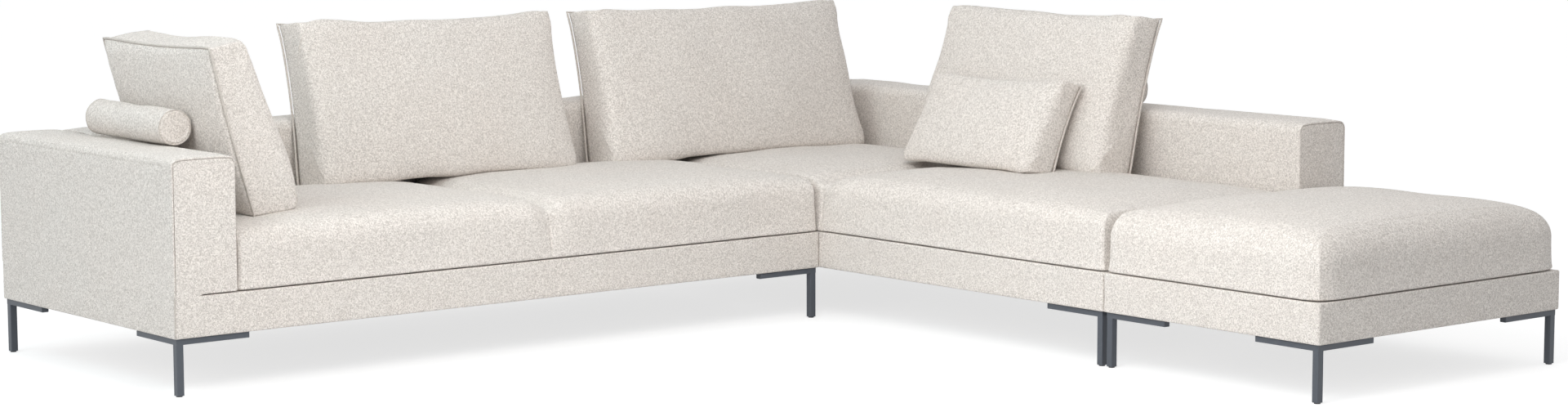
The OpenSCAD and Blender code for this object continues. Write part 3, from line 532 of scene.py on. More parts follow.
@dataclass(frozen=True)
class Filling:
    """How a padded piece is filled by the cloth simulation.

    Attributes:
        pressure: push of the filling.
        slack: how much smaller the piece starts.
        cap: the furthest that any point moves.
        proud: how far the filled cloth may stand over its full form.
        frames: how long it is filled.
        EVENING: rounds in which the push of neighbours is evened out.
        CLOTH: settings of the cloth.
    """

    pressure: float = 4.0
    slack: float = 0.006
    cap: float = 0.026
    proud: float = 0.001
    frames: int = 20

    EVENING: ClassVar = 30
    CLOTH: ClassVar = {
        "quality": 5, "mass": 0.35, "tension_stiffness": 22, "compression_stiffness": 22,
        "shear_stiffness": 9, "bending_stiffness": 1.2, "use_pressure": True,
        "shrink_min": -0.012, "shrink_max": -0.012,
    }

    def apply(self, piece: bpy.types.Object, held: np.ndarray) -> None:
        """Fills a piece.

        Args:
            piece: the piece, at its full form.
            held: from 0 for free cloth to 1 for cloth that seams hold.
        """
        full, ways = read_points(piece), read_normals(piece)
        start = full - ways * (self.slack * (1 - held))[:, None]
        write_points(piece, start)
        moved = self.simulate(piece, held) - start
        far = np.linalg.norm(moved, axis=1)
        moved *= np.minimum(1, self.cap / np.maximum(far, 1e-9))[:, None]
        push = np.einsum("ij,ij->i", start + moved - full, ways)
        push = even_out(piece, np.clip(push, -self.slack, self.proud), self.EVENING)
        write_points(piece, full + ways * (push * (1 - held))[:, None])

    def simulate(self, piece: bpy.types.Object, held: np.ndarray) -> np.ndarray:
        """Runs the cloth simulation and takes it off the piece again.

        Args:
            piece: the piece, as it starts.
            held: from 0 for free cloth to 1 for cloth that seams hold.
        Returns:
            Where its corners come to rest.
        """
        group = piece.vertex_groups.new(name="sewn")
        for number in np.nonzero(held > 0.02)[0]:
            group.add([int(number)], float(held[number]), "REPLACE")
        cloth = piece.modifiers.new("Filling", "CLOTH")
        for setting, value in self.CLOTH.items():
            setattr(cloth.settings, setting, value)
        cloth.settings.uniform_pressure_force = self.pressure
        cloth.settings.vertex_group_mass = group.name
        cloth.settings.effector_weights.gravity = 0
        cloth.collision_settings.use_collision = False
        cloth.collision_settings.use_self_collision = False
        cloth.point_cache.frame_start = 1
        cloth.point_cache.frame_end = self.frames
        scene = bpy.context.scene
        for step in range(1, self.frames + 1):
            scene.frame_set(step)
        shape = piece.evaluated_get(bpy.context.evaluated_depsgraph_get()).to_mesh()
        flat = np.zeros(len(shape.vertices) * 3)
        shape.vertices.foreach_get("co", flat)
        piece.modifiers.remove(cloth)
        piece.vertex_groups.clear()
        scene.frame_set(1)
        return flat.reshape(-1, 3)


def refine(piece: bpy.types.Object) -> None:
    """Adds one level of subdivision.

    Args:
        piece: the piece.
    """
    extra = piece.modifiers.new("Softness", "SUBSURF")
    extra.levels = extra.render_levels = 1
    extra.use_limit_surface = False


# Shader helpers
WHITE = (1.0, 1.0, 1.0, 1.0)
Feed = bpy.types.NodeSocket | float | tuple


class Graph:
    """Builds the nodes of a material or a node group with few words."""

    def __init__(self, tree: bpy.types.NodeTree) -> None:
        """Keeps the tree that nodes are added to."""
        self.tree = tree

    def feed(self, node: bpy.types.Node, inputs: dict) -> None:
        """Links sockets to a node's inputs, or sets plain values on them.

        Args:
            node: the node.
            inputs: values or sockets by the input's name or number.
        """
        for key, value in inputs.items():
            if isinstance(value, bpy.types.NodeSocket):
                self.tree.links.new(value, node.inputs[key])
            else:
                node.inputs[key].default_value = value

    def node(self, kind: str, inputs: dict | None = None, **settings: object
             ) -> bpy.types.Node:
        """Adds a node.

        Args:
            kind: the node's type name.
            inputs: values or sockets by the input's name or number.
            settings: attributes of the node.
        Returns:
            The node.
        """
        made = self.tree.nodes.new(kind)
        for key, value in settings.items():
            setattr(made, key, value)
        self.feed(made, inputs or {})
        return made

    def math(self, operation: str, a: Feed, b: Feed = 0.0, c: Feed = 0.0
             ) -> bpy.types.NodeSocket:
        """A Math node's result."""
        return self.node("ShaderNodeMath", {0: a, 1: b, 2: c},
                         operation=operation).outputs[0]

    def vector(self, operation: str, a: Feed, b: Feed) -> bpy.types.NodeSocket:
        """A Vector Math node's result."""
        return self.node("ShaderNodeVectorMath", {0: a, 1: b},
                         operation=operation).outputs[0]

    def hold_in(self, value: Feed) -> bpy.types.NodeSocket:
        """A value held between 0 and 1."""
        return self.math("MINIMUM", self.math("MAXIMUM", value, 0.0), 1.0)

    def blend(self, share: Feed, a: Feed, b: Feed) -> bpy.types.NodeSocket:
        """A value between a and b."""
        return self.node("ShaderNodeMix", {"Factor": share, 2: a, 3: b},
                         data_type="FLOAT").outputs[0]

    def blend_colour(self, share: Feed, a: Feed, b: Feed, how: str = "MIX"
                     ) -> bpy.types.NodeSocket:
        """A colour made of a and b."""
        return self.node("ShaderNodeMix", {"Factor": share, 6: a, 7: b},
                         data_type="RGBA", blend_type=how).outputs[2]

    def place(self, x: Feed, y: Feed, z: Feed = 0.0) -> bpy.types.NodeSocket:
        """A vector of three values."""
        return self.node("ShaderNodeCombineXYZ", {0: x, 1: y, 2: z}).outputs[0]

    def noise(self, where: Feed, scale: float, detail: float = 2.0) -> bpy.types.NodeSocket:
        """Noise from 0 to 1."""
        return self.node("ShaderNodeTexNoise", {"Vector": where, "Scale": scale,
                                                "Detail": detail}).outputs["Fac"]

    def bump(self, height: Feed, strength: float, depth: float) -> bpy.types.NodeSocket:
        """A normal that is bent by a height."""
        return self.node("ShaderNodeBump", {"Height": height, "Strength": strength,
                                            "Distance": depth}).outputs[0]


def linear(*srgb: int) -> tuple[float, float, float, float]:
    """A screen colour, 0 to 255, as the linear colour that a shader takes."""
    parts = [c / 255 for c in srgb]
    return (*[p / 12.92 if p <= 0.04045 else ((p + 0.055) / 1.055) ** 2.4 for p in parts], 1.0)


class WeaveGroup:
    """Shared node group: a twill of heathered yarn that turns back on itself.

    Attributes:
        NAME: name of the group.
        GIVEN: its inputs, with their values where a material gives none.
        BAND: threads between two turns of the twill.
        REPEAT: threads after which the twill repeats.
        OVER: part of a repeat in which the warp lies on top.
        ROUNDNESS: how boxed a thread's section is.
        STRAY: how far a thread strays from a straight line, in metres.
        SLUB: scale of the slubs across the threads and along them.
    """

    NAME = "heathered_twill"
    GIVEN = (("Pitch", 0.0026), ("Slubs", 0.5), ("Heather", 0.6))
    BAND = 12.0
    REPEAT, OVER = 4.0, 1.5
    ROUNDNESS = 2.2
    STRAY = 0.004
    SLUB = (0.7, 0.2)

    @classmethod
    def get(cls) -> bpy.types.NodeTree:
        """The group, built at its first use."""
        return bpy.data.node_groups.get(cls.NAME) or cls._build()

    @classmethod
    def _round(cls, g: Graph, place: bpy.types.NodeSocket) -> bpy.types.NodeSocket:
        """Height across a thread: 1 in its middle, 0 at its sides."""
        side = g.math("ABSOLUTE", g.math("MULTIPLY_ADD", g.math("FRACT", place), 2.0, -1.0))
        return g.math("SUBTRACT", 1.0, g.math("POWER", side, cls.ROUNDNESS))

    @classmethod
    def _build(cls) -> bpy.types.NodeTree:
        """Lays out the weave's nodes.

        Returns:
            The group.
        """
        tree = bpy.data.node_groups.new(cls.NAME, "ShaderNodeTree")
        face = tree.interface
        for name, value in cls.GIVEN:
            face.new_socket(name, in_out="INPUT", socket_type="NodeSocketFloat"
                            ).default_value = value
        for name in ("Tone", "Height", "Cloudiness"):
            face.new_socket(name, in_out="OUTPUT", socket_type="NodeSocketFloat")
        g = Graph(tree)
        given = g.node("NodeGroupInput").outputs
        where = g.node("ShaderNodeTexCoord").outputs
        here = where["Object"]
        wobble = g.node("ShaderNodeTexNoise", {"Vector": here, "Scale": 14.0, "Detail": 1.0})
        shift = g.vector("MULTIPLY", wobble.outputs["Color"], (cls.STRAY,) * 3)
        at = g.node("ShaderNodeSeparateXYZ", {0: g.vector("ADD", here, shift)}).outputs
        way = g.node("ShaderNodeSeparateXYZ", {0: where["Normal"]}).outputs
        nx, ny, nz = (g.math("ABSOLUTE", way[k]) for k in range(3))
        is_x = g.math("GREATER_THAN", nx, g.math("MAXIMUM", ny, nz))
        is_z = g.math("GREATER_THAN", nz, g.math("MAXIMUM", nx, ny))
        a = g.math("DIVIDE", g.blend(is_x, at[0], at[1]), given["Pitch"])
        b = g.math("DIVIDE", g.blend(is_z, at[2], at[1]), given["Pitch"])
        i, j = g.math("FLOOR", a), g.math("FLOOR", b)
        band = g.math("MODULO", g.math("FLOOR", g.math("DIVIDE", i, cls.BAND)), 2.0)
        turn = g.math("SUBTRACT", 1.0, g.math("MULTIPLY", 2.0, g.math("ABSOLUTE", band)))
        step = g.math("ADD", i, g.math("MULTIPLY", j, turn))
        warp_up = g.math("LESS_THAN", g.math("FLOORED_MODULO", step, cls.REPEAT), cls.OVER)
        thread = g.blend(warp_up, cls._round(g, b), cls._round(g, a))
        speckle = g.node("ShaderNodeTexWhiteNoise", {"Vector": g.place(i, j)},
                         noise_dimensions="2D").outputs["Value"]
        fine, coarse = cls.SLUB
        warp, weft = (
            g.noise(g.place(g.math("MULTIPLY", a, on_a), g.math("MULTIPLY", b, on_b), z), 1.0)
            for on_a, on_b, z in ((fine, coarse, 0.0), (coarse, fine, 9.0)))
        slub = g.blend(warp_up, weft, warp)
        fuzz = g.noise(here, 1500.0, 1.0)
        heather = g.math("MULTIPLY", g.math("SUBTRACT", speckle, 0.5), given["Heather"])
        slubs = g.math("MULTIPLY", g.math("SUBTRACT", slub, 0.5),
                       g.math("MULTIPLY", given["Slubs"], 1.1))
        tone = g.math("ADD", g.math("ADD", g.math("MULTIPLY_ADD", thread, 0.36, 0.34),
                                    g.math("MULTIPLY", heather, 0.95)),
                      g.math("ADD", slubs, g.math("MULTIPLY_ADD", fuzz, 0.3, -0.15)))
        g.feed(g.node("NodeGroupOutput"), {
            "Tone": g.hold_in(tone), "Height": g.math("MULTIPLY_ADD", fuzz, 0.18, thread),
            "Cloudiness": g.noise(here, 5.0, 3.0)})
        return tree


def new_material(name: str) -> tuple[bpy.types.Material, Graph, bpy.types.Node]:
    """Makes an empty material with its Principled shader in place.

    Args:
        name: name of the material.
    Returns:
        The material, its graph and the shader.
    """
    made = bpy.data.materials.new(name)
    made.use_nodes = True
    return made, Graph(made.node_tree), made.node_tree.nodes["Principled BSDF"]


@dataclass(frozen=True)
class Cloth:
    """Heathered upholstery cloth.

    Attributes:
        name: name of the material.
        dark: screen colour of the deeper yarn.
        light: screen colour of the paler yarn.
        pitch: distance between threads in metres.
        depth: height of a thread in metres, for the bump.
        slubs: how uneven the yarn is.
    """

    name: str
    dark: tuple[int, int, int]
    light: tuple[int, int, int]
    pitch: float = 0.0026
    depth: float = 0.0008
    slubs: float = 0.5

    def build(self) -> bpy.types.Material:
        """Makes the material.

        Returns:
            The material.
        """
        made, g, shader = new_material(self.name)
        weave = g.node("ShaderNodeGroup", {"Pitch": self.pitch, "Slubs": self.slubs},
                       node_tree=WeaveGroup.get()).outputs
        yarn = g.blend_colour(weave["Tone"], linear(*self.dark), linear(*self.light))
        cast = g.blend_colour(weave["Cloudiness"], (0.985, 1.0, 1.0, 1.0),
                              (1.0, 0.99, 0.98, 1.0))
        g.feed(shader, {
            "Base Color": g.blend_colour(1.0, yarn, cast, "MULTIPLY"),
            "Roughness": g.math("MULTIPLY_ADD", weave["Height"], -0.08, 0.93),
            "Sheen Weight": 0.12, "Sheen Roughness": 0.5, "Specular IOR Level": 0.2,
            "Normal": g.bump(weave["Height"], 0.55, self.depth)})
        return made


@dataclass(frozen=True)
class CoatedMetal:
    """Steel under a fine powder coat, or bare.

    Attributes:
        name: name of the material.
        colour: screen colour.
        metallic: 1 for bare metal.
        rough: roughness.
        grain: scale of its fine texture.
        depth: depth of that texture in metres.
    """

    name: str
    colour: tuple[int, int, int]
    metallic: float
    rough: float
    grain: float = 1500.0
    depth: float = 0.00006

    def build(self) -> bpy.types.Material:
        """Makes the material.

        Returns:
            The material.
        """
        made, g, shader = new_material(self.name)
        here = g.node("ShaderNodeTexCoord").outputs["Object"]
        fine, broad = g.noise(here, self.grain, 2.0), g.noise(here, 9.0, 3.0)
        base = linear(*self.colour)
        worn = tuple(min(1.0, c * 1.22) for c in base[:3]) + (1.0,)
        g.feed(shader, {
            "Base Color": g.blend_colour(g.math("MULTIPLY", broad, 0.6), base, worn),
            "Roughness": g.math("ADD", g.math("MULTIPLY_ADD", fine, 0.10, self.rough - 0.05),
                                g.math("MULTIPLY_ADD", broad, 0.10, -0.05)),
            "Metallic": self.metallic, "Normal": g.bump(fine, 0.4, self.depth)})
        return made


@dataclass(frozen=True)
class Stretched:
    """A material whose grain runs one way: timber, ply, webbing, felt, foam or plastic.

    Attributes:
        name: name of the material.
        dark: screen colour in its lines.
        light: screen colour between them.
        stretch: scale of the grain along x, y and z.
        rough: roughness.
        depth: depth of the grain in metres.
    """

    name: str
    dark: tuple[int, int, int]
    light: tuple[int, int, int]
    stretch: tuple[float, float, float]
    rough: float = 0.7
    depth: float = 0.0003

    def build(self) -> bpy.types.Material:
        """Makes the material.

        Returns:
            The material.
        """
        made, g, shader = new_material(self.name)
        here = g.node("ShaderNodeTexCoord").outputs["Object"]
        grain = g.noise(g.vector("MULTIPLY", here, self.stretch), 1.0, 4.0)
        lines = g.hold_in(g.math("MULTIPLY_ADD", grain, 2.4, -0.7))
        g.feed(shader, {
            "Base Color": g.blend_colour(lines, linear(*self.dark), linear(*self.light)),
            "Roughness": g.math("MULTIPLY_ADD", lines, -0.1, self.rough),
            "Normal": g.bump(lines, 0.5, self.depth)})
        return made


FINISHES = {
    Slot.COVER: Cloth("cover_cloth", (166, 157, 150), (253, 247, 242)),
    Slot.LEG: CoatedMetal("leg_coat", (74, 79, 87), 0.0, 0.42),
    Slot.FIXING: CoatedMetal("zinc_plate", (176, 178, 182), 1.0, 0.34, 600.0),
    Slot.GLIDE: Stretched("glide_plastic_grain", (30, 32, 35), (44, 46, 50),
                          (900.0, 900.0, 900.0), 0.5, 0.00005),
    Slot.TIMBER: Stretched("beech_grain", (176, 136, 92), (214, 180, 136),
                           (14.0, 14.0, 160.0)),
    Slot.BOARD: Stretched("ply_grain", (192, 156, 110), (222, 194, 150),
                          (9.0, 9.0, 120.0)),
    Slot.WEBBING: Stretched("elastic_webbing", (44, 43, 41), (86, 84, 80),
                            (420.0, 420.0, 40.0), 0.9, 0.0004),
    Slot.FELT: Stretched("dust_felt_fibres", (62, 59, 56), (84, 80, 76),
                         (260.0, 260.0, 260.0), 0.95, 0.0003),
    Slot.FOAM: Stretched("foam_cells", (224, 211, 160), (240, 230, 186),
                         (520.0, 520.0, 520.0), 0.95, 0.0005),
    Slot.FILLING: Stretched("fleece_fibres", (228, 224, 214), (246, 243, 236),
                            (180.0, 180.0, 180.0), 0.95, 0.0008),
}


class Wardrobe:
    """Holds each finish's material and dresses pieces with it."""

    def __init__(self) -> None:
        """Builds every material once."""
        self.materials = {slot: finish.build() for slot, finish in FINISHES.items()}
        self.thread = Cloth("seam_cloth", (176, 168, 161), (226, 219, 213),
                            pitch=0.0018).build()

    def dress(self, piece: bpy.types.Object, slot: Slot, body: Body,
              nodes: Iterable[str] = ()) -> None:
        """Gives a piece its material, its body and the nodes that it stands for.

        Args:
            piece: the piece.
            slot: the record's slot that it takes its finish from.
            body: the body that it rides on.
            nodes: CAD nodes that it replaces.
        """
        piece.data.materials.clear()
        piece.data.materials.append(self.materials[slot])
        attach(piece, body.value)
        if nodes:
            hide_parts(*nodes)
        log.info("%s on %s", piece.name, body.value)

    def trim(self, piece: bpy.types.Object, body: Body) -> None:
        """Gives a bead or a sewn edge the cloth of the seams.

        Args:
            piece: the bead.
            body: the body that it rides on.
        """
        piece.data.materials.append(self.thread)
        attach(piece, body.value)


# Cushions and rolls
@dataclass
class Cushion:
    """Loose cushion: a boxed front, a back sheet and a beaded seam where they meet.

    Attributes:
        body: the body that it rides on.
        foot: middle of its seam's foot in the plan, in metres.
        width: width from seam to seam.
        height: height from seam to seam.
        front: thickness in front of the seam.
        back: crown behind the seam.
        lean: lean in degrees.
        turn: turn about z in degrees, 0 for one that faces the front.
        seed: picks its unevenness.
        fill: how full it is; not used.
        taper: share by which it is thicker at its foot and thinner at its head.
        spread: share by which it is wider at its foot and narrower at its head.
        corner_in: how far its lower corners are drawn in.
        ear_in: the same for its upper corners, negative where they stand out.
        crown: share by which its face is lower at its edges than in its middle.
        pull: how far its seam is drawn in between the corners.
        front_power: how boxed its front is, 2 for an ellipse.
        back_power: how boxed its back is.
        step: distance between its stations.
        FINE: steps in which the length of a section is measured.
        BEAD: radius of the bead, and how far out it is sewn on.
        FREE: distance from the seam at which the cloth moves freely.
        SEAM: width and depth of the dent along the seam.
        PUCKER, HOLLOW: unevenness of its cloth.
    """

    body: Body
    foot: tuple[float, float, float]
    width: float
    height: float
    front: float
    back: float
    lean: float
    turn: float
    seed: int
    fill: float = 0.7
    taper: float = 0.15
    spread: float = 0.012
    corner_in: float = 0.004
    ear_in: float = -0.005
    crown: float = 0.14
    pull: float = 0.011
    front_power: float = 8.0
    back_power: float = 2.4
    step: float = 0.012

    FINE: ClassVar = 4000
    BEAD: ClassVar = (0.0032, 0.0022)
    FREE: ClassVar = 0.02
    SEAM: ClassVar = (0.006, 0.0012)
    PUCKER: ClassVar = Pucker(length=0.034, reach=0.030, height=0.0016)
    HOLLOW: ClassVar = Hollow(length=0.26, rise=0.25, depth=0.0042)

    @staticmethod
    def swell(s: np.ndarray, power: float) -> np.ndarray:
        """How full the form is across: 1 in the middle, nothing at a seam."""
        return np.clip(1 - np.abs(s) ** power, 0, None) ** (1 / power)

    def even(self, half: float, depth: float, power: float, count: int = 0) -> np.ndarray:
        """Stations from -1 to 1 that lie evenly along a sheet's section.

        Args:
            half: half of the section's width.
            depth: its depth.
            power: how boxed it is.
            count: number of steps, or 0 to take it from the section's length.
        Returns:
            The stations in rising order.
        """
        angle = np.linspace(0, math.pi, self.FINE + 1)
        s = -np.sign(np.cos(angle)) * np.abs(np.cos(angle)) ** (2 / power)
        d = np.abs(np.sin(angle)) ** (2 / power)
        run = np.concatenate([[0], np.cumsum(np.hypot(np.diff(half * s), np.diff(depth * d)))])
        count = count or 2 * round(run[-1] / self.step / 2)
        return np.interp(np.linspace(0, run[-1], count + 1), run, s)

    def lay_stations(self, depth: float, power: float, counts: tuple[int, int]
                     ) -> tuple[np.ndarray, np.ndarray]:
        """Lays a sheet's grid, close at its walls inside and even along the seam itself.

        Args:
            depth: depth of the sheet.
            power: how boxed it is.
            counts: number of steps across and up, or 0 to take them from its size.
        Returns:
            Stations across and up, each as a grid.
        """
        s = self.even(self.width / 2, depth, power, counts[0])
        t = self.even(self.height / 2, depth, power, counts[1])
        even_s, even_t = np.linspace(-1, 1, len(s)), np.linspace(-1, 1, len(t))
        inside_s, inside_t = self.swell(s, power)[:, None], self.swell(t, power)[None]
        return (s[:, None] * inside_t + even_s[:, None] * (1 - inside_t),
                t[None] * inside_s + even_t[None] * (1 - inside_s))

    def outline(self, s: np.ndarray, t: np.ndarray) -> tuple[np.ndarray, np.ndarray]:
        """Places stations in the seam's plane.

        Args:
            s: stations across, from -1 to 1.
            t: stations up, from -1 to 1.
        Returns:
            Their x and z.
        """
        corner = np.where(t > 0, self.ear_in, self.corner_in) * (s * t) ** 8
        x = s * (self.width / 2 * (1 - self.spread * t) - self.pull * (1 - t * t) - corner)
        z = self.height / 2 + t * (self.height / 2 - self.pull * (1 - s * s) - corner)
        return x, z

    def front_sheet(self, s: np.ndarray, t: np.ndarray) -> np.ndarray:
        """Shapes the boxed front.

        Args:
            s: stations across, from -1 to 1.
            t: stations up, from -1 to 1.
        Returns:
            Its points, of shape (ns, nt, 3).
        """
        x, z = self.outline(s, t)
        y = (self.front * (1 - self.taper * t) * self.swell(s, self.front_power)
             * self.swell(t, self.front_power)
             * (1 - self.crown * (1 - (1 - s * s) * (1 - t * t))))
        z = z - y * math.tan(math.radians(self.lean)) * ((1 - t) / 2) ** 3
        return np.stack([x, -y, z], -1)

    def back_sheet(self, s: np.ndarray, t: np.ndarray) -> np.ndarray:
        """Shapes the back sheet.

        Args:
            s: stations across, from -1 to 1.
            t: stations up, from -1 to 1.
        Returns:
            Its points, of shape (ns, nt, 3).
        """
        x, z = self.outline(s, t)
        y = self.back * self.swell(s, self.back_power) * self.swell(t, self.back_power)
        return np.stack([x, y, z], -1)

    def stand(self, points: np.ndarray) -> np.ndarray:
        """Leans, turns and places points of the cushion.

        Args:
            points: rows of x, y, z with the seam upright and its foot at 0.
        Returns:
            The points in the model's frame.
        """
        lean, turn = math.radians(self.lean), math.radians(self.turn)
        x, y, z = points[:, 0], points[:, 1], points[:, 2]
        y, z = y * math.cos(lean) + z * math.sin(lean), z * math.cos(lean) - y * math.sin(lean)
        x, y = x * math.cos(turn) - y * math.sin(turn), x * math.sin(turn) + y * math.cos(turn)
        return to_row(np.stack([x, y, z], -1) + np.array(self.foot))

    def build(self, wardrobe: Wardrobe) -> None:
        """Makes the cushion, fills it and sews its bead on.

        Args:
            wardrobe: the materials.
        """
        name = self.body.value
        s, t = self.lay_stations(self.front, self.front_power, (0, 0))
        ns, nt = s.shape
        front = self.front_sheet(s, t).reshape(-1, 3)
        s, t = self.lay_stations(self.back, self.back_power, (ns - 1, nt - 1))
        back = self.back_sheet(s, t)[1:-1, 1:-1].reshape(-1, 3)

        def at(i: int, j: int, rear: bool) -> int:
            """Finds the number of a point.

            Args:
                i: its place across.
                j: its place up.
                rear: whether it is on the back sheet.
            Returns:
                Its number. Along the seam the two sheets share their points.
            """
            if not rear or i in (0, ns - 1) or j in (0, nt - 1):
                return i * nt + j
            return ns * nt + (i - 1) * (nt - 2) + j - 1

        faces = [(at(i, j, rear), at(i, j + 1, rear), at(i + 1, j + 1, rear),
                  at(i + 1, j, rear))[::-1 if rear else 1]
                 for rear in (False, True) for i in range(ns - 1) for j in range(nt - 1)]
        points = self.stand(np.concatenate([front, back]))
        piece = make_piece(name + "_sewn", points, faces)
        loop = [i * nt + j for i, j in rim_of(ns, nt)]
        held = np.zeros(len(points))
        held[loop] = 1.0
        Filling().apply(piece, held)
        self.finish_surface(piece, loop)
        path = read_points(piece)[loop]
        out = path - path.mean(0)
        out /= np.linalg.norm(out, axis=1, keepdims=True)
        radius, away = self.BEAD
        wardrobe.trim(tube(name + "_bead", path + out * away, radius), self.body)
        refine(piece)
        wardrobe.dress(piece, Slot.COVER, self.body, (name + "_cover", name + "_fill"))

    def finish_surface(self, piece: bpy.types.Object, loop: list[int]) -> None:
        """Adds puckers at the seam and soft hollows over the faces.

        Args:
            piece: the cushion.
            loop: numbers of the points along its seam.
        """
        points, ways = read_points(piece), read_normals(piece)
        seam = points[loop]
        near = np.full(len(points), 1.0)
        batches = 40
        for part in np.array_split(np.arange(len(points)), batches):
            gap = points[part][:, None, :] - seam[None]
            near[part] = np.sqrt((gap ** 2).sum(2)).min(1)
        free = 1 - crease(near, self.FREE)
        pucker = self.PUCKER.push(points, near, self.seed) * free
        hollow = self.HOLLOW.push(points, self.seed + 50) * free
        width, depth = self.SEAM
        pull = -crease(near, width) * depth
        write_points(piece, points + ways * (pucker + hollow + pull)[:, None])


@dataclass
class Roll:
    """Bolster: a padded roll with a domed disc sewn into each end.

    Attributes:
        body: the body that it rides on.
        middle: middle of its axis in the plan.
        length: its length, along y.
        seed: picks its unevenness.
        radius: its radius.
        rounding: rounding from its side to its ends.
        sides: points round it.
        DOME: an end disc: how far out, as a share, and how far below its middle.
        TURNS: steps of the rounding.
        SEAM: width and depth of the seam.
        BEAD: radius of the bead on the seam, and the corners of its section.
        PUCKER, HOLLOW: unevenness of its cloth.
    """

    body: Body
    middle: tuple[float, float, float]
    length: float
    seed: int
    radius: float = 0.051
    rounding: float = 0.014
    sides: int = 96

    DOME: ClassVar = ((0.0, 0.0), (0.3, 0.0002), (0.6, 0.0009), (0.8, 0.0016), (0.9, 0.0021))
    TURNS: ClassVar = 8
    SEAM: ClassVar = (0.003, 0.0012)
    BEAD: ClassVar = (0.0013, 6)
    PUCKER: ClassVar = Pucker(length=0.05, reach=0.03, height=0.0010)
    HOLLOW: ClassVar = Hollow(length=0.16, rise=0.1, depth=0.0018)

    def build(self, wardrobe: Wardrobe) -> None:
        """Turns the roll's profile and sews its end discs in.

        Args:
            wardrobe: the materials.
        """
        name, r, e, half, n = (self.body.value, self.radius, self.rounding, self.length / 2,
                               self.sides)
        profile = [((r - e) * q, half - d) for q, d in self.DOME]
        for k in range(1, self.TURNS + 1):
            a = math.pi / 2 * k / self.TURNS
            profile.append((r - e + e * math.sin(a), half - e + e * math.cos(a)))
        groove = len(profile) - self.TURNS // 2
        profile += [(r, v) for v in np.linspace(half - e - 0.006, 0, 18)]
        whole = profile + [(q, -v) for q, v in reversed(profile[:-1])]
        turn = np.linspace(0, 2 * math.pi, n, endpoint=False)
        points = [(0.0, whole[0][1], 0.0)]
        for q, v in whole[1:-1]:
            points += [(q * math.cos(a), v, q * math.sin(a)) for a in turn]
        points.append((0.0, whole[-1][1], 0.0))
        rows, top = len(whole) - 2, len(points) - 1
        faces = [(0, 1 + k, 1 + (k + 1) % n) for k in range(n)]
        faces += [(1 + m * n + k, 1 + (m + 1) * n + k, 1 + (m + 1) * n + (k + 1) % n,
                   1 + m * n + (k + 1) % n) for m in range(rows - 1) for k in range(n)]
        faces += [(top, 1 + (rows - 1) * n + (k + 1) % n, 1 + (rows - 1) * n + k)
                  for k in range(n)]
        points = to_row(np.array(points) + np.array(self.middle))
        piece = make_piece(name + "_sewn", points, faces)
        seams = [np.arange(1 + row * n, 1 + (row + 1) * n)
                 for row in (groove - 1, rows - groove)]
        held = np.zeros(len(points))
        held[np.concatenate(seams)] = 1.0
        Filling(slack=0.003, proud=0.0, cap=0.012).apply(piece, held)
        points, ways = read_points(piece), read_normals(piece)
        along = points[:, 1] - points[:, 1].mean()
        near = np.abs(np.abs(along) - abs(along[seams[0][0]]))
        width, depth = self.SEAM
        shift = (self.PUCKER.push(points, near, self.seed)
                 + self.HOLLOW.push(points, self.seed + 9) - crease(near, width) * depth)
        write_points(piece, points + ways * shift[:, None])
        for number, ring in enumerate(seams, 1):
            bead = tube(f"{name}_bead_{number}", read_points(piece)[ring], *self.BEAD)
            wardrobe.trim(bead, self.body)
        refine(piece)
        wardrobe.dress(piece, Slot.COVER, self.body, (name + "_cover", name + "_fill"))


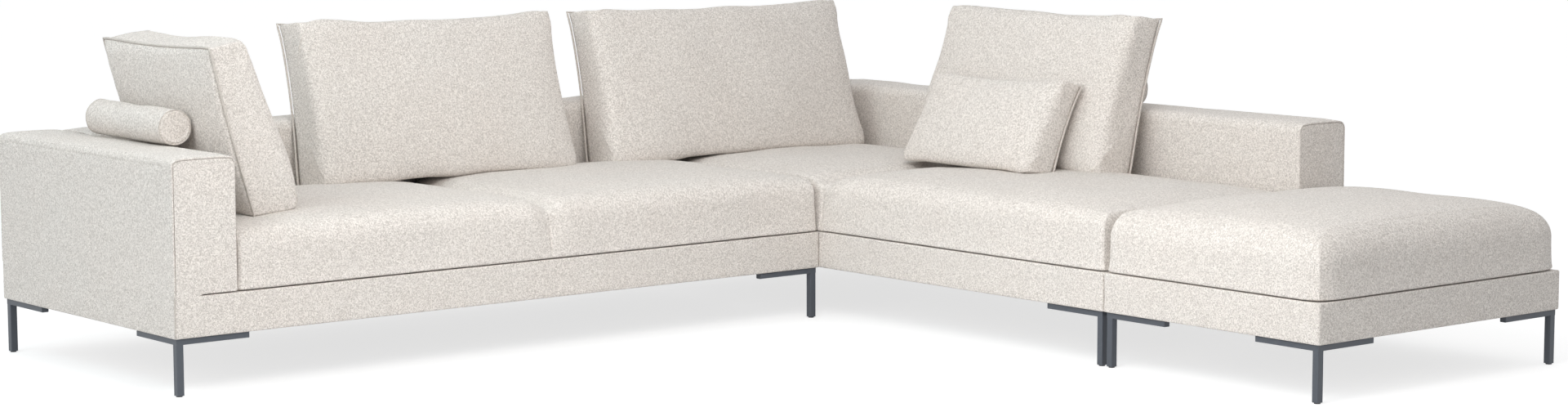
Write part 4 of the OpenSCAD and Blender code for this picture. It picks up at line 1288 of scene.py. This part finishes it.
# Seats
@dataclass
class Seat:
    """Long padded seat with a crown to each pad and a sewn valley between its pads.

    Attributes:
        name: name of the piece.
        body: the body that it rides on.
        nodes: the CAD nodes that it stands for.
        low: its lowest corner in the plan.
        high: its highest corner in the plan.
        seed: picks its unevenness.
        valley_x: where a valley crosses x, or None.
        valley_y: where a valley crosses y, or None.
        edge: rounding from its top to its walls.
        crown: height of a pad's crown.
        valley_depth: depth of a valley.
        valley_width: distance from a valley's line at which it ends.
        fade: height below the rounding over which a valley ends on the front.
        foot: height of the thin slot above the base.
        step: distance between its stations.
        tight: sides with a smaller rounding, as axis, whether it is the high side, rounding.
        SLOT: how the wall turns in at the slot: inset and height in millimetres.
        CORNER: rounding of its corners, seen from above.
        SQUARENESS: how square the corners of its walls are.
        TURNS: steps of the rounding, and of the wall.
        TIGHT_REACH: distance from a tight side at which the seat is as without it.
        VALLEY_PULL: how far the wall is drawn in at a valley, as a share of its depth.
        SEAM: width and depth of the valley's seam.
        HELD: width along that seam, and height of the foot, where the cloth is held.
        PUCKER, HOLLOW: unevenness of its cloth.
    """

    name: str
    body: Body
    nodes: tuple[str, ...]
    low: tuple[float, float]
    high: tuple[float, float]
    seed: int
    valley_x: float | None = None
    valley_y: float | None = None
    edge: float = 0.050
    crown: float = 0.024
    valley_depth: float = 0.020
    valley_width: float = 0.060
    fade: float = 0.060
    foot: float = 0.009
    step: float = 0.018
    tight: tuple[tuple[int, bool, float], ...] = ()

    SLOT: ClassVar = ((0.8, 6.2), (2.4, 4.2), (4.5, 3.2), (7.0, 2.8), (13.0, 2.6), (17.0, 0.0))
    CORNER: ClassVar = 0.008
    SQUARENESS: ClassVar = 0.42
    TURNS: ClassVar = 8
    TIGHT_REACH: ClassVar = 0.16
    VALLEY_PULL: ClassVar = 0.6
    SEAM: ClassVar = (0.0038, 0.0065)
    HELD: ClassVar = (0.003, 0.012)
    PUCKER: ClassVar = Pucker(length=0.06, reach=0.05, height=0.0012)
    HOLLOW: ClassVar = Hollow(length=0.34, rise=0.0, depth=0.0030)

    def tighten(self, points: np.ndarray) -> None:
        """Draws the rounding in at the sides where another piece lies close against it.

        Args:
            points: the seat's points in the plan, which are changed.
        """
        reach = self.TIGHT_REACH
        for axis, at_high, rounding in self.tight:
            limit, way = ((self.high[axis], -1) if at_high else (self.low[axis], 1))
            far = (points[:, axis] - limit) * way
            near = np.interp(far, [0, self.edge, reach], [0, rounding, reach])
            share = np.ones(len(points))
            if self.valley_y is not None and axis == 0 and not at_high:
                # Only behind the front of the left element, which lies against it there.
                share = np.clip((points[:, 1] + 0.030) / 0.045, 0, 1)
            points[:, axis] += way * (near - far) * share * (far < reach)

    def share(self, p: np.ndarray, a: float, b: float, valley: float | None) -> np.ndarray:
        """Crown of a seat that may have a valley.

        Args:
            p: places along one axis.
            a: where the seat starts.
            b: where it ends.
            valley: where its valley is, or None.
        Returns:
            The crown's share at each place.
        """
        if valley is None:
            return pad_share(p, a, b)
        return np.where(p < valley, pad_share(p, a, valley), pad_share(p, valley, b))

    def dip(self, p: np.ndarray, valley: float | None) -> np.ndarray:
        """Section through a valley.

        Args:
            p: places along one axis.
            valley: where the valley is, or None.
        Returns:
            The share of its depth at each place.
        """
        if valley is None:
            return np.zeros(len(p))
        u = np.clip(np.abs(p - valley) / self.valley_width, 0, 1)
        return (1 - u * u) ** 2

    def shape(self) -> tuple[np.ndarray, list[tuple[int, ...]]]:
        """Lays out the seat with its crowns and valleys.

        Returns:
            Its points in the plan, and its faces.
        """
        e, top = self.edge, PLAN.seat_height
        across, along = (stations(self.low[k] + e, self.high[k] - e, self.step,
                                  [] if valley is None else [valley], self.CORNER)
                         for k, valley in enumerate((self.valley_x, self.valley_y)))
        form = CappedForm(across, along, (self.CORNER,) * 4, e, self.SQUARENESS)
        rings = [Edge(inset, top - down) for inset, down in quarter(e, self.TURNS)[1:]]
        wall_top, wall_low = top - e, PLAN.body_low + self.foot
        rings += [Edge(0.0, wall_top + (wall_low - wall_top) * k / self.TURNS)
                  for k in range(1, self.TURNS + 1)]
        rings += [Edge(i * MM, PLAN.body_low + h * MM) for i, h in self.SLOT]
        rings.append(Edge(e, PLAN.body_low))
        points, faces = form.build(rings, top, PLAN.body_low)
        self.tighten(points)
        x, y, z = points.T
        rise = (self.crown * self.share(x, self.low[0], self.high[0], self.valley_x)
                * self.share(y, self.low[1], self.high[1], self.valley_y))
        dip = np.maximum(self.dip(x, self.valley_x), self.dip(y, self.valley_y))
        upper = np.clip((z - wall_top) / 0.004 + 1, 0, 1)
        sink = np.clip((z - wall_top + self.fade) / (e + self.fade), 0, 1)
        wall = (np.clip((z - wall_low) / (wall_top - wall_low), 0, 1)
                * np.clip((top - z) / e, 0, 1))
        points[:, 2] += rise * upper - self.valley_depth * dip * sink
        middle = (np.array(self.low) + np.array(self.high)) / 2
        half = (np.array(self.high) - np.array(self.low)) / 2
        pull = self.valley_depth * self.VALLEY_PULL * dip * wall
        points[:, :2] -= (points[:, :2] - middle) / half * pull[:, None]
        return points, faces

    def build(self, wardrobe: Wardrobe) -> None:
        """Makes the seat, fills it and lays its seams.

        Args:
            wardrobe: the materials.
        """
        points, faces = self.shape()
        x, y, z = points.T
        piece = make_piece(self.name, to_row(points), faces)
        line = np.full(len(points), 1.0)
        for p, valley in ((x, self.valley_x), (y, self.valley_y)):
            if valley is not None:
                line = np.minimum(line, np.abs(p - valley))
        sewn, foot = self.HELD
        held = np.maximum(crease(line, sewn), (z < PLAN.body_low + foot).astype(float))
        Filling(slack=0.005, cap=0.024, proud=0.0).apply(piece, held)
        points, ways = read_points(piece), read_normals(piece)
        calm = 0.02
        free = 1 - np.clip((PLAN.body_low + calm - points[:, 2]) / calm, 0, 1)
        width, depth = self.SEAM
        shift = (-crease(line, width) * depth
                 + self.PUCKER.push(points, line, self.seed) * (line > 0.001)
                 + self.HOLLOW.push(points, self.seed + 7)) * free
        write_points(piece, points + ways * shift[:, None])
        refine(piece)
        wardrobe.dress(piece, Slot.COVER, self.body, self.nodes)


# Arm and backrests
@dataclass
class Block:
    """Padded arm or backrest: a wrap of cloth with a panel sewn into each end.

    Attributes:
        name: name of the piece.
        body: the body that it rides on.
        nodes: the CAD nodes that it stands for.
        along: direction that it runs in.
        side: its lowest and highest place across.
        run: where it starts and ends.
        seed: picks its unevenness.
        outer_low: whether its outer side is the one at its lowest place across.
        mitre_end: whether its far end is cut at 45 degrees for the corner.
        slit: whether its front panel runs on into the base at the outer side.
        top_round: rounding along its top.
        top_crown: height of its top's crown.
        cap_inset: how far its end panels lie inside its outline.
        step: distance between its stations.
        SEAM_RINGS: an end with a seam: inset and distance from the end, in millimetres.
        FOLD_RINGS: the same for an end with a plain fold.
        SLIT: height of the slit over the base, its start from the outer side, its ramp.
        TOP_SEAM: width and depth of the seam along the top of its outer side.
        PUCKER, HOLLOW: unevenness of its cloth.
    """

    name: str
    body: Body
    nodes: tuple[str, ...]
    along: Along
    side: tuple[float, float]
    run: tuple[float, float]
    seed: int
    outer_low: bool = False
    mitre_end: bool = False
    slit: bool = False
    top_round: float = 0.020
    top_crown: float = 0.010
    cap_inset: float = 0.007
    step: float = 0.018

    SEAM_RINGS: ClassVar = ((6.6, 0.4), (6.2, 3.8), (4.8, 3.8), (4.4, 0.5), (2.2, 0.1),
                            (0.8, 0.8), (0.2, 2.2), (0.0, 10.5))
    FOLD_RINGS: ClassVar = ((6.0, 0.05), (5.0, 0.1), (4.0, 0.25), (3.0, 0.5), (2.0, 1.0),
                            (1.0, 1.9), (0.35, 3.4), (0.0, 10.5))
    SLIT: ClassVar = (0.0048, 0.068, 0.008)
    TOP_SEAM: ClassVar = (0.0028, 0.0020)
    PUCKER: ClassVar = Pucker(length=0.05, reach=0.03, height=0.0005)
    HOLLOW: ClassVar = Hollow(length=0.30, rise=0.0, depth=0.0022)

    def end_rings(self, edge: np.ndarray, sewn: np.ndarray, flush: np.ndarray
                  ) -> list[tuple[np.ndarray, np.ndarray]]:
        """Insets and distances from the end of the rings that round one end.

        Args:
            edge: the cap's edge points.
            sewn: 1 where a seam runs, 0 for a plain fold.
            flush: 1 where the panel runs on without an edge.
        Returns:
            For each ring its inset and its distance from the end.
        """
        rings = []
        for (seam_in, seam_d), (fold_in, fold_d) in zip(self.SEAM_RINGS, self.FOLD_RINGS):
            inset = (seam_in * sewn + fold_in * (1 - sewn)) * MM
            far = (seam_d * sewn + fold_d * (1 - sewn)) * MM
            rings.append((inset * (1 - flush), far * np.ones(len(edge))))
        return rings

    def rings(self, edge: np.ndarray, low_z: float, length: float) -> list[Edge]:
        """Edges of the block from one end to the other.

        Args:
            edge: the cap's edge points.
            low_z: height of its foot.
            length: its length.
        Returns:
            The edges in order.
        """
        a, b = self.side
        c = self.cap_inset
        from_outer = edge[:, 0] - a if self.outer_low else b - edge[:, 0]
        is_top = edge[:, 1] > PLAN.back_height - self.top_round - 0.001
        is_outer = from_outer < c + 0.001
        is_foot = edge[:, 1] < low_z + c + 0.001
        sewn = (is_top | is_outer).astype(float)
        flush = np.zeros(len(edge))
        if self.slit:
            flush = is_foot * panel_share(from_outer)
            flush[is_outer & is_foot] = 1.0
            sewn = np.where(is_foot & ~is_outer, 0.0, sewn)
        front = self.end_rings(edge, sewn, flush)
        rear = self.end_rings(edge, sewn * 0.8, np.zeros(len(edge)))
        count = max(2, round((length - 0.05) / 0.03))
        return ([Edge(i, d) for i, d in front]
                + [Edge(0.0, float(d)) for d in np.linspace(0.02, length - 0.02, count)]
                + [Edge(i, length - d) for i, d in reversed(rear)] + [Edge(c, length)])

    def build(self, wardrobe: Wardrobe) -> None:
        """Makes the block with its end panels and top seam.

        Args:
            wardrobe: the materials.
        """
        c, high_z = self.cap_inset, PLAN.back_height
        a, b = self.side
        low_z = PLAN.base_top - 0.002 if self.slit else PLAN.body_low
        seam_z = high_z - self.top_round - 0.004
        low_corner, high_corner = 0.0015, self.top_round - c
        form = CappedForm(
            stations(a + c, b - c, self.step, (), high_corner),
            stations(low_z + c, high_z - c, self.step, (seam_z,), high_corner),
            (low_corner, low_corner, high_corner, high_corner), c,
            lambda edge: (edge[:, 1] < low_z + 0.02).astype(float))
        grid, numbers, _ = form.outline()
        length = self.run[1] - self.run[0]
        points, faces = form.build(self.rings(grid[numbers], low_z, length), 0.0, length)
        u, v, h = points.T.copy()
        if self.mitre_end:
            h = h * (1 + (u - self.side[0]) / length)
        lift = (self.top_crown * pad_share(u, a, b)
                * np.clip((v - (high_z - 0.06)) / 0.05, 0, 1))
        ends = np.minimum(points[:, 2], length - points[:, 2])
        v = v + lift * (0.55 + 0.45 * np.clip(ends / 0.05, 0, 1))
        if self.slit:
            slit, start, ramp = self.SLIT
            v = v + slit * (v < low_z + 0.007) * np.clip((u - a - start) / ramp, 0, 1)
        h = h + self.run[0]
        across = u - a if self.outer_low else b - u
        placed = (np.stack([u, h, v], -1) if self.along is Along.Y
                  else np.stack([h, u, v], -1))
        piece = make_piece(self.name, to_row(placed), faces)
        world, ways = read_points(piece), read_normals(piece)
        inside = np.clip((ends - 0.012) / 0.05, 0, 1)
        on_outer = (across < 0.012).astype(float)
        soft = np.clip((v - low_z - 0.01) / 0.05, 0, 1)
        width, depth = self.TOP_SEAM
        shift = (-crease(v - seam_z, width) * depth * on_outer * inside
                 + self.HOLLOW.push(world, self.seed) * inside * soft
                 + self.PUCKER.push(world, np.abs(ends - 0.02), self.seed + 3) * inside * soft)
        write_points(piece, world + ways * shift[:, None])
        piece.data.set_sharp_from_angle(angle=SHARP)
        wardrobe.dress(piece, Slot.COVER, self.body, self.nodes)


# Bases
@dataclass
class Base:
    """Upholstered base: cloth over the rails, turned in below, with a dust cover.

    Attributes:
        prefix: start of its nodes' names.
        body: the body that it rides on.
        low: its lowest corner in the plan.
        high: its highest corner in the plan.
        seed: picks its unevenness.
        arm_side: whether an arm's panel runs on into its left side.
        cap_inset: how far its top lies inside its outline.
        edge: rounding of its edges.
        step: distance between its stations.
        CORNER: rounding of its corners, seen from above.
        TURNS: steps of a rounding.
        WALLS: steps of a wall.
        TURNED_IN: how far the cloth turns in below.
        FELT_STEP: distance between the stations of the dust cover.
        PANEL_SEAM: radius of the seam of the arm's panel, and how far in it lies.
        HOLLOW: unevenness of its cloth.
    """

    prefix: str
    body: Body
    low: tuple[float, float]
    high: tuple[float, float]
    seed: int
    arm_side: bool = False
    cap_inset: float = 0.006
    edge: float = 0.004
    step: float = 0.035

    CORNER: ClassVar = 0.002
    TURNS: ClassVar = 4
    WALLS: ClassVar = 7
    TURNED_IN: ClassVar = 0.03
    FELT_STEP: ClassVar = 0.04
    PANEL_SEAM: ClassVar = (0.0017, 0.0009)
    HOLLOW: ClassVar = Hollow(length=0.22, rise=0.0, depth=0.0012)

    def rings(self, edge: np.ndarray, low_z: float) -> list[Edge]:
        """Edges of the cloth from the top of the base to where it is turned in.

        Args:
            edge: the cap's edge points.
            low_z: height of its underside.
        Returns:
            The edges in order.
        """
        top, margin = PLAN.base_top, 0.001
        flush = np.zeros(len(edge))
        if self.arm_side:
            on_left = edge[:, 0] < self.low[0] + self.cap_inset + 0.001
            on_front = edge[:, 1] < self.low[1] + self.cap_inset + 0.001
            flush = np.where(on_front, panel_share(edge[:, 0]), 0.0)
            flush[on_left] = 1.0
        round_off = quarter(self.edge, self.TURNS)
        rings = [Edge(inset * (1 - flush), top - down * (1 - flush) - 0.0002 * k * flush)
                 for k, (inset, down) in enumerate(round_off)]
        rings += [Edge(0.0, top - self.edge - margin
                       + (low_z - top + 2 * self.edge + 2 * margin) * k / self.WALLS)
                  for k in range(self.WALLS + 1)]
        rings += [Edge(down, low_z + inset) for inset, down in round_off[1:]]
        return rings + [Edge(self.TURNED_IN, low_z)]

    def build(self, wardrobe: Wardrobe) -> None:
        """Makes the cloth of the base and its dust cover.

        Args:
            wardrobe: the materials.
        """
        c, top, low_z = self.cap_inset, PLAN.base_top, PLAN.leg_height + 0.0005
        across, along = (stations(self.low[k] + c, self.high[k] - c, self.step, (),
                                  self.CORNER) for k in (0, 1))
        form = CappedForm(across, along, (self.CORNER,) * 4, c)
        grid, numbers, _ = form.outline()
        points, faces = form.build(self.rings(grid[numbers], low_z), top, None)
        piece = make_piece(self.prefix + "_base_cloth", to_row(points), faces)
        world, ways = read_points(piece), read_normals(piece)
        wall = np.clip((top - 0.008 - points[:, 2]) / 0.02, 0, 1) * np.clip(
            (points[:, 2] - low_z - 0.008) / 0.02, 0, 1)
        shift = self.HOLLOW.push(world, self.seed) * wall
        write_points(piece, world + ways * shift[:, None])
        piece.data.set_sharp_from_angle(angle=SHARP)
        wardrobe.dress(piece, Slot.COVER, self.body, (self.prefix + "_base_cover",))
        if self.arm_side:
            radius, inside = self.PANEL_SEAM
            x, y = (low + inside for low in self.low)
            path = np.linspace((x, y, top - 0.001), (x, y, low_z + 0.004), 12)
            seam = tube("arm_panel_seam", to_row(path), radius, closed=False)
            wardrobe.trim(seam, self.body)
        self.dust_cover(wardrobe)

    def dust_cover(self, wardrobe: Wardrobe) -> None:
        """Lays the felt below the base, a little slack between its fixings.

        Args:
            wardrobe: the materials.
        """
        low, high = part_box(self.prefix + "_dust_cover")
        nx, ny = (max(8, round((b - a) / self.FELT_STEP))
                  for a, b in ((low.x, high.x), (low.y, high.y)))
        xs, ys = np.linspace(low.x, high.x, nx), np.linspace(low.y, high.y, ny)
        x, y = (g.ravel() for g in np.meshgrid(xs, ys, indexing="ij"))
        flat = np.stack([x, y, np.zeros(len(x))], -1)
        edge = np.minimum.reduce([x - low.x, high.x - x, y - low.y, high.y - y])
        slack = np.clip(edge / 0.12, 0, 1) * (0.0035 + 0.0015 * ripple(flat, 0.2, self.seed))
        thickness = 0.0010
        under = np.stack([x, y, low.z + 0.0002 - np.clip(slack, 0, None)], -1)
        over = under + np.array([0.0, 0.0, thickness])
        n = len(under)
        faces = []
        for i in range(nx - 1):
            for j in range(ny - 1):
                quad = (i * ny + j, (i + 1) * ny + j, (i + 1) * ny + j + 1, i * ny + j + 1)
                faces += [quad, tuple(q + n for q in reversed(quad))]
        rim = [i * ny + j for i, j in rim_of(nx, ny)]
        faces += [(p, q, q + n, p + n) for p, q in zip(rim, rim[1:] + rim[:1])]
        piece = make_piece(self.prefix + "_dust_felt", np.concatenate([under, over]), faces)
        wardrobe.dress(piece, Slot.FELT, self.body, (self.prefix + "_dust_cover",))


# Studio
@dataclass(frozen=True)
class Lamp:
    """One soft square lamp.

    Attributes:
        name: its name.
        place: where it hangs, in metres.
        target: where it points.
        size: length of its sides.
        power: its power in watts.
        colour: its colour.
    """

    name: str
    place: tuple[float, float, float]
    target: tuple[float, float, float]
    size: float
    power: float
    colour: tuple[float, float, float] = (1.0, 1.0, 1.0)

    def hang(self) -> None:
        """Hangs the lamp."""
        data = bpy.data.lights.new(self.name, "AREA")
        data.shape = "SQUARE"
        data.size, data.energy, data.color = self.size, self.power, self.colour
        lamp = bpy.data.objects.new(self.name, data)
        lamp.location = self.place
        look = Vector(self.target) - Vector(self.place)
        lamp.rotation_euler = look.to_track_quat("-Z", "Y").to_euler()
        bpy.context.scene.collection.objects.link(lamp)


@dataclass
class Studio:
    """Camera, floor, backdrop and lamps.

    Attributes:
        place: where the camera stands, in the model's frame.
        yaw: its turn from y towards x, in degrees.
        pitch: how far it looks down, in degrees.
        roll: its roll in degrees.
        lens: focal length in millimetres on a 36 mm frame.
        FLOOR: half the length of the floor's sides.
        LAMPS: the lamps.
    """

    place: tuple[float, float, float] = (-5.4462, -6.6590, 1.4077)
    yaw: float = 39.542
    pitch: float = 6.551
    roll: float = 0.098
    lens: float = 72.671

    FLOOR: ClassVar = 30.0
    LAMPS: ClassVar = (
        Lamp("inner_key", (-1.2, -1.5, 2.3), (0.1, 0.2, 0.4), 1.5, 42.0, (1.0, 0.985, 0.965)),
        Lamp("front_fill", (-2.6, -4.6, 3.2), (0.0, -0.2, 0.4), 3.0, 6.0),
        Lamp("left_soft", (-6.5, -1.6, 2.6), (0.3, -0.5, 0.4), 3.5, 80.0, (1.0, 0.985, 0.97)),
        Lamp("arm_cool", (-3.4, 1.0, 3.2), (-1.2, 0.1, 0.5), 1.6, 24.0, (0.72, 0.95, 1.0)),
    )

    def camera(self) -> None:
        """Sets up the camera at the photograph's angle."""
        yaw, pitch, roll = (math.radians(a) for a in (self.yaw, self.pitch, self.roll))
        ahead = Vector((math.sin(yaw) * math.cos(pitch), math.cos(yaw) * math.cos(pitch),
                        -math.sin(pitch)))
        right = Vector((math.cos(yaw), -math.sin(yaw), 0.0))
        down = ahead.cross(right)
        across = right * math.cos(roll) + down * math.sin(roll)
        under = down * math.cos(roll) - right * math.sin(roll)
        data = bpy.data.cameras.new("photo_camera")
        data.sensor_fit = "HORIZONTAL"
        data.sensor_width = 36.0
        data.lens = self.lens
        data.clip_end = 80.0
        camera = bpy.data.objects.new("photo_camera", data)
        turn = Matrix((across, -under, -ahead)).transposed().to_4x4()
        camera.matrix_world = Matrix.Translation(Vector(self.place)) @ turn
        bpy.context.scene.collection.objects.link(camera)
        bpy.context.scene.camera = camera

    @staticmethod
    def shown_directly(g: Graph) -> bpy.types.NodeSocket:
        """1 where a surface is seen by the camera, in a reflection or through glass."""
        seen = g.node("ShaderNodeLightPath").outputs
        return g.math("MAXIMUM", seen["Is Camera Ray"], g.math(
            "MAXIMUM", seen["Is Glossy Ray"], seen["Is Transmission Ray"]))

    def choose(self, g: Graph, unseen: bpy.types.Node, seen: bpy.types.Node
               ) -> bpy.types.NodeSocket:
        """A shader that is one to light and another to the camera."""
        return g.node("ShaderNodeMixShader", {0: self.shown_directly(g), 1: unseen.outputs[0],
                                              2: seen.outputs[0]}).outputs[0]

    def floor(self) -> None:
        """Lays the floor: white to the camera with a soft shadow, pale to other light."""
        far = self.FLOOR
        points = np.array([(-far, -far, 0.0), (far, -far, 0.0), (far, far, 0.0),
                           (-far, far, 0.0)])
        piece = make_piece("floor", points, [(0, 1, 2, 3)])
        made, g, shader = new_material("floor_paint")
        tone = g.noise(g.node("ShaderNodeTexCoord").outputs["Object"], 1.2, 3.0)
        g.feed(shader, {
            "Base Color": g.blend_colour(tone, linear(219, 219, 219), linear(225, 225, 225)),
            "Roughness": 0.9, "Specular IOR Level": 0.1})
        matt = g.node("ShaderNodeBsdfDiffuse", {"Color": (0.42, 0.42, 0.42, 1.0)})
        glow = g.node("ShaderNodeEmission", {"Color": WHITE, "Strength": 0.72})
        lit = g.node("ShaderNodeAddShader", {0: matt.outputs[0], 1: glow.outputs[0]})
        g.feed(g.tree.nodes["Material Output"], {0: self.choose(g, shader, lit)})
        piece.data.materials.append(made)

    def world(self) -> None:
        """White to the camera and in reflections, a soft light to everything else.

        That light is a little weaker from the front than from behind.
        """
        world = bpy.data.worlds.new("studio")
        world.use_nodes = True
        bpy.context.scene.world = world
        g = Graph(world.node_tree)
        world.node_tree.nodes.clear()
        way = g.node("ShaderNodeSeparateXYZ",
                     {0: g.node("ShaderNodeTexCoord").outputs["Generated"]}).outputs
        soft = g.node("ShaderNodeBackground", {
            "Color": (0.985, 0.995, 1.0, 1.0),
            "Strength": g.math("MULTIPLY_ADD", way[1], 0.12, 0.68)})
        white = g.node("ShaderNodeBackground", {"Color": WHITE, "Strength": 1.0})
        g.node("ShaderNodeOutputWorld", {0: self.choose(g, soft, white)})

    def build(self) -> None:
        """Sets up the whole studio."""
        bpy.context.scene.view_settings.view_transform = "Standard"
        self.camera()
        self.floor()
        self.world()
        for lamp in self.LAMPS:
            lamp.hang()


# The sofa
class CornerSofa:
    """All the pieces of the sofa.

    Attributes:
        ARM_CUSHION: width of the arm cushion and its middle's y.
        RIGHT_CUSHION: the same for the right one.
        ROLL_SHORTER: how much shorter a roll is than the cushion before it.
        BY_ENDING: slot of each CAD node by the ending of its name.
    """

    ARM_CUSHION = (0.590, 0.439)
    RIGHT_CUSHION = (0.830, -0.190)
    ROLL_SHORTER = 0.164
    BY_ENDING = {
        "_rails": Slot.TIMBER, "_straps": Slot.WEBBING, "_legs": Slot.LEG,
        "_leg_bolts": Slot.FIXING, "_glides": Slot.GLIDE, "_link_plates": Slot.FIXING,
        "_link_hooks": Slot.FIXING, "_link_screws": Slot.FIXING, "_frame": Slot.BOARD,
        "_foam": Slot.FOAM, "_fill": Slot.FILLING, "_dust_cover": Slot.FELT,
    }

    def __init__(self) -> None:
        """Builds the materials."""
        self.wardrobe = Wardrobe()

    def bases(self) -> list[Base]:
        """Sizes of the bases.

        Returns:
            The three bases.
        """
        p = PLAN
        return [
            Base("left", Body.LEFT, (0.0, 0.0), (p.left_length, p.depth), 11, arm_side=True),
            Base("corner", Body.CORNER, (p.corner_x, -p.wing_length), (p.right_x, p.depth), 12),
            Base("pouf", Body.POUF, (p.corner_x, p.pouf_y),
                 (p.right_x, p.pouf_y + p.pouf_length), 13),
        ]

    def seats(self) -> list[Seat]:
        """Sizes of the seats.

        Returns:
            The three seats.
        """
        p = PLAN
        left_low, left_high = p.arm_width + p.rest, p.left_length
        return [
            Seat("left_seat_sewn", Body.LEFT, ("left_seat_cover", "left_seat_foam"),
                 (left_low, 0.0), (left_high, p.seat_depth - p.rest), 21,
                 valley_x=(left_low + left_high) / 2 + 0.012,
                 tight=((0, True, 0.014), (0, False, 0.022))),
            Seat("corner_seat_sewn", Body.CORNER, ("corner_seat_cover", "corner_seat_foam"),
                 (p.corner_x, -p.wing_length),
                 (p.corner_x + p.seat_depth - p.rest, p.seat_depth - p.rest), 22,
                 valley_y=0.0, tight=((0, False, 0.014), (1, False, 0.020))),
            Seat("pouf_seat_sewn", Body.POUF, ("pouf_cover", "pouf_foam"),
                 (p.corner_x, p.pouf_y), (p.right_x, p.pouf_y + p.pouf_length), 23,
                 edge=0.070, crown=0.037, tight=((1, True, 0.024),)),
        ]

    def blocks(self) -> list[Block]:
        """Sizes of the arm and the backrests.

        Returns:
            The arm and the three backrests.
        """
        p, mitre_gap = PLAN, 0.0002
        rear = (p.seat_depth, p.depth)
        side = (p.corner_x + p.seat_depth, p.right_x)
        return [
            Block("arm_sewn", Body.LEFT, ("left_arm_cover", "left_arm_frame"), Along.Y,
                  (0.0, p.arm_width), (0.0, p.depth), 31, outer_low=True, slit=True,
                  top_round=0.014),
            Block("left_back_sewn", Body.LEFT, ("left_back_cover", "left_back_frame"),
                  Along.X, rear, (p.arm_width + p.rest, p.left_length), 32),
            Block("rear_back_sewn", Body.CORNER, ("corner_rear_cover", "corner_rear_frame"),
                  Along.X, rear, (p.corner_x, p.corner_x + p.seat_depth - mitre_gap), 33,
                  mitre_end=True),
            Block("side_back_sewn", Body.CORNER, ("corner_side_cover", "corner_side_frame"),
                  Along.Y, side, (-p.wing_length, p.seat_depth - mitre_gap), 34,
                  mitre_end=True),
        ]

    def cushions(self) -> list[Cushion]:
        """Sizes of the loose cushions.

        Returns:
            The five cushions.
        """
        arm_width, arm_y = self.ARM_CUSHION
        right_width, right_y = self.RIGHT_CUSHION
        right_x = PLAN.corner_x + PLAN.seat_depth - 0.101
        return [
            Cushion(Body.ARM_CUSHION, (0.321, arm_y, 0.42642), arm_width, 0.470,
                    front=0.178, back=0.034, lean=15.0, turn=90.0, seed=41, ear_in=0.004),
            Cushion(Body.LEFT_CUSHION, (1.265, 0.73823, 0.4236), 0.900, 0.470,
                    front=0.150, back=0.008, lean=13.0, turn=0.0, seed=42, front_power=12.0),
            Cushion(Body.MIDDLE_CUSHION, (2.353, 0.73798, 0.42213), 1.020, 0.470,
                    front=0.150, back=0.008, lean=13.0, turn=0.0, seed=43, front_power=12.0),
            Cushion(Body.RIGHT_CUSHION, (right_x, right_y, 0.42699), right_width, 0.470,
                    front=0.150, back=0.020, lean=16.0, turn=-90.0, seed=44,
                    front_power=10.0),
            Cushion(Body.SMALL_CUSHION, (2.62482, -0.212, 0.43493), 0.570, 0.276,
                    front=0.112, back=0.018, lean=25.0, turn=-90.0, seed=45),
        ]

    def rolls(self) -> list[Roll]:
        """Sizes of the rolls.

        Returns:
            The two rolls.
        """
        arm_width, arm_y = self.ARM_CUSHION
        right_width, right_y = self.RIGHT_CUSHION
        back_x = PLAN.corner_x + PLAN.seat_depth + 0.0421
        return [
            Roll(Body.ARM_ROLL, (PLAN.arm_width - 0.01582, arm_y + 0.052, 0.66542),
                 arm_width - self.ROLL_SHORTER, 51),
            Roll(Body.BACK_ROLL, (back_x, right_y + 0.020, 0.66837),
                 right_width - self.ROLL_SHORTER, 52),
        ]

    def dress_frame(self) -> None:
        """Gives the CAD nodes that stay in view their materials."""
        for name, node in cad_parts.items():
            slot = next((s for e, s in self.BY_ENDING.items() if name.endswith(e)), Slot.COVER)
            node.data.materials.clear()
            node.data.materials.append(self.wardrobe.materials[slot])

    def build(self) -> None:
        """Builds every piece in order."""
        self.dress_frame()
        for piece in (*self.bases(), *self.seats(), *self.blocks(), *self.cushions(),
                      *self.rolls()):
            piece.build(self.wardrobe)


def main() -> None:
    """Builds the studio and the sofa."""
    logging.basicConfig(level=logging.INFO, format="%(message)s")
    Studio().build()
    CornerSofa().build()


if __name__ == "__main__":
    main()
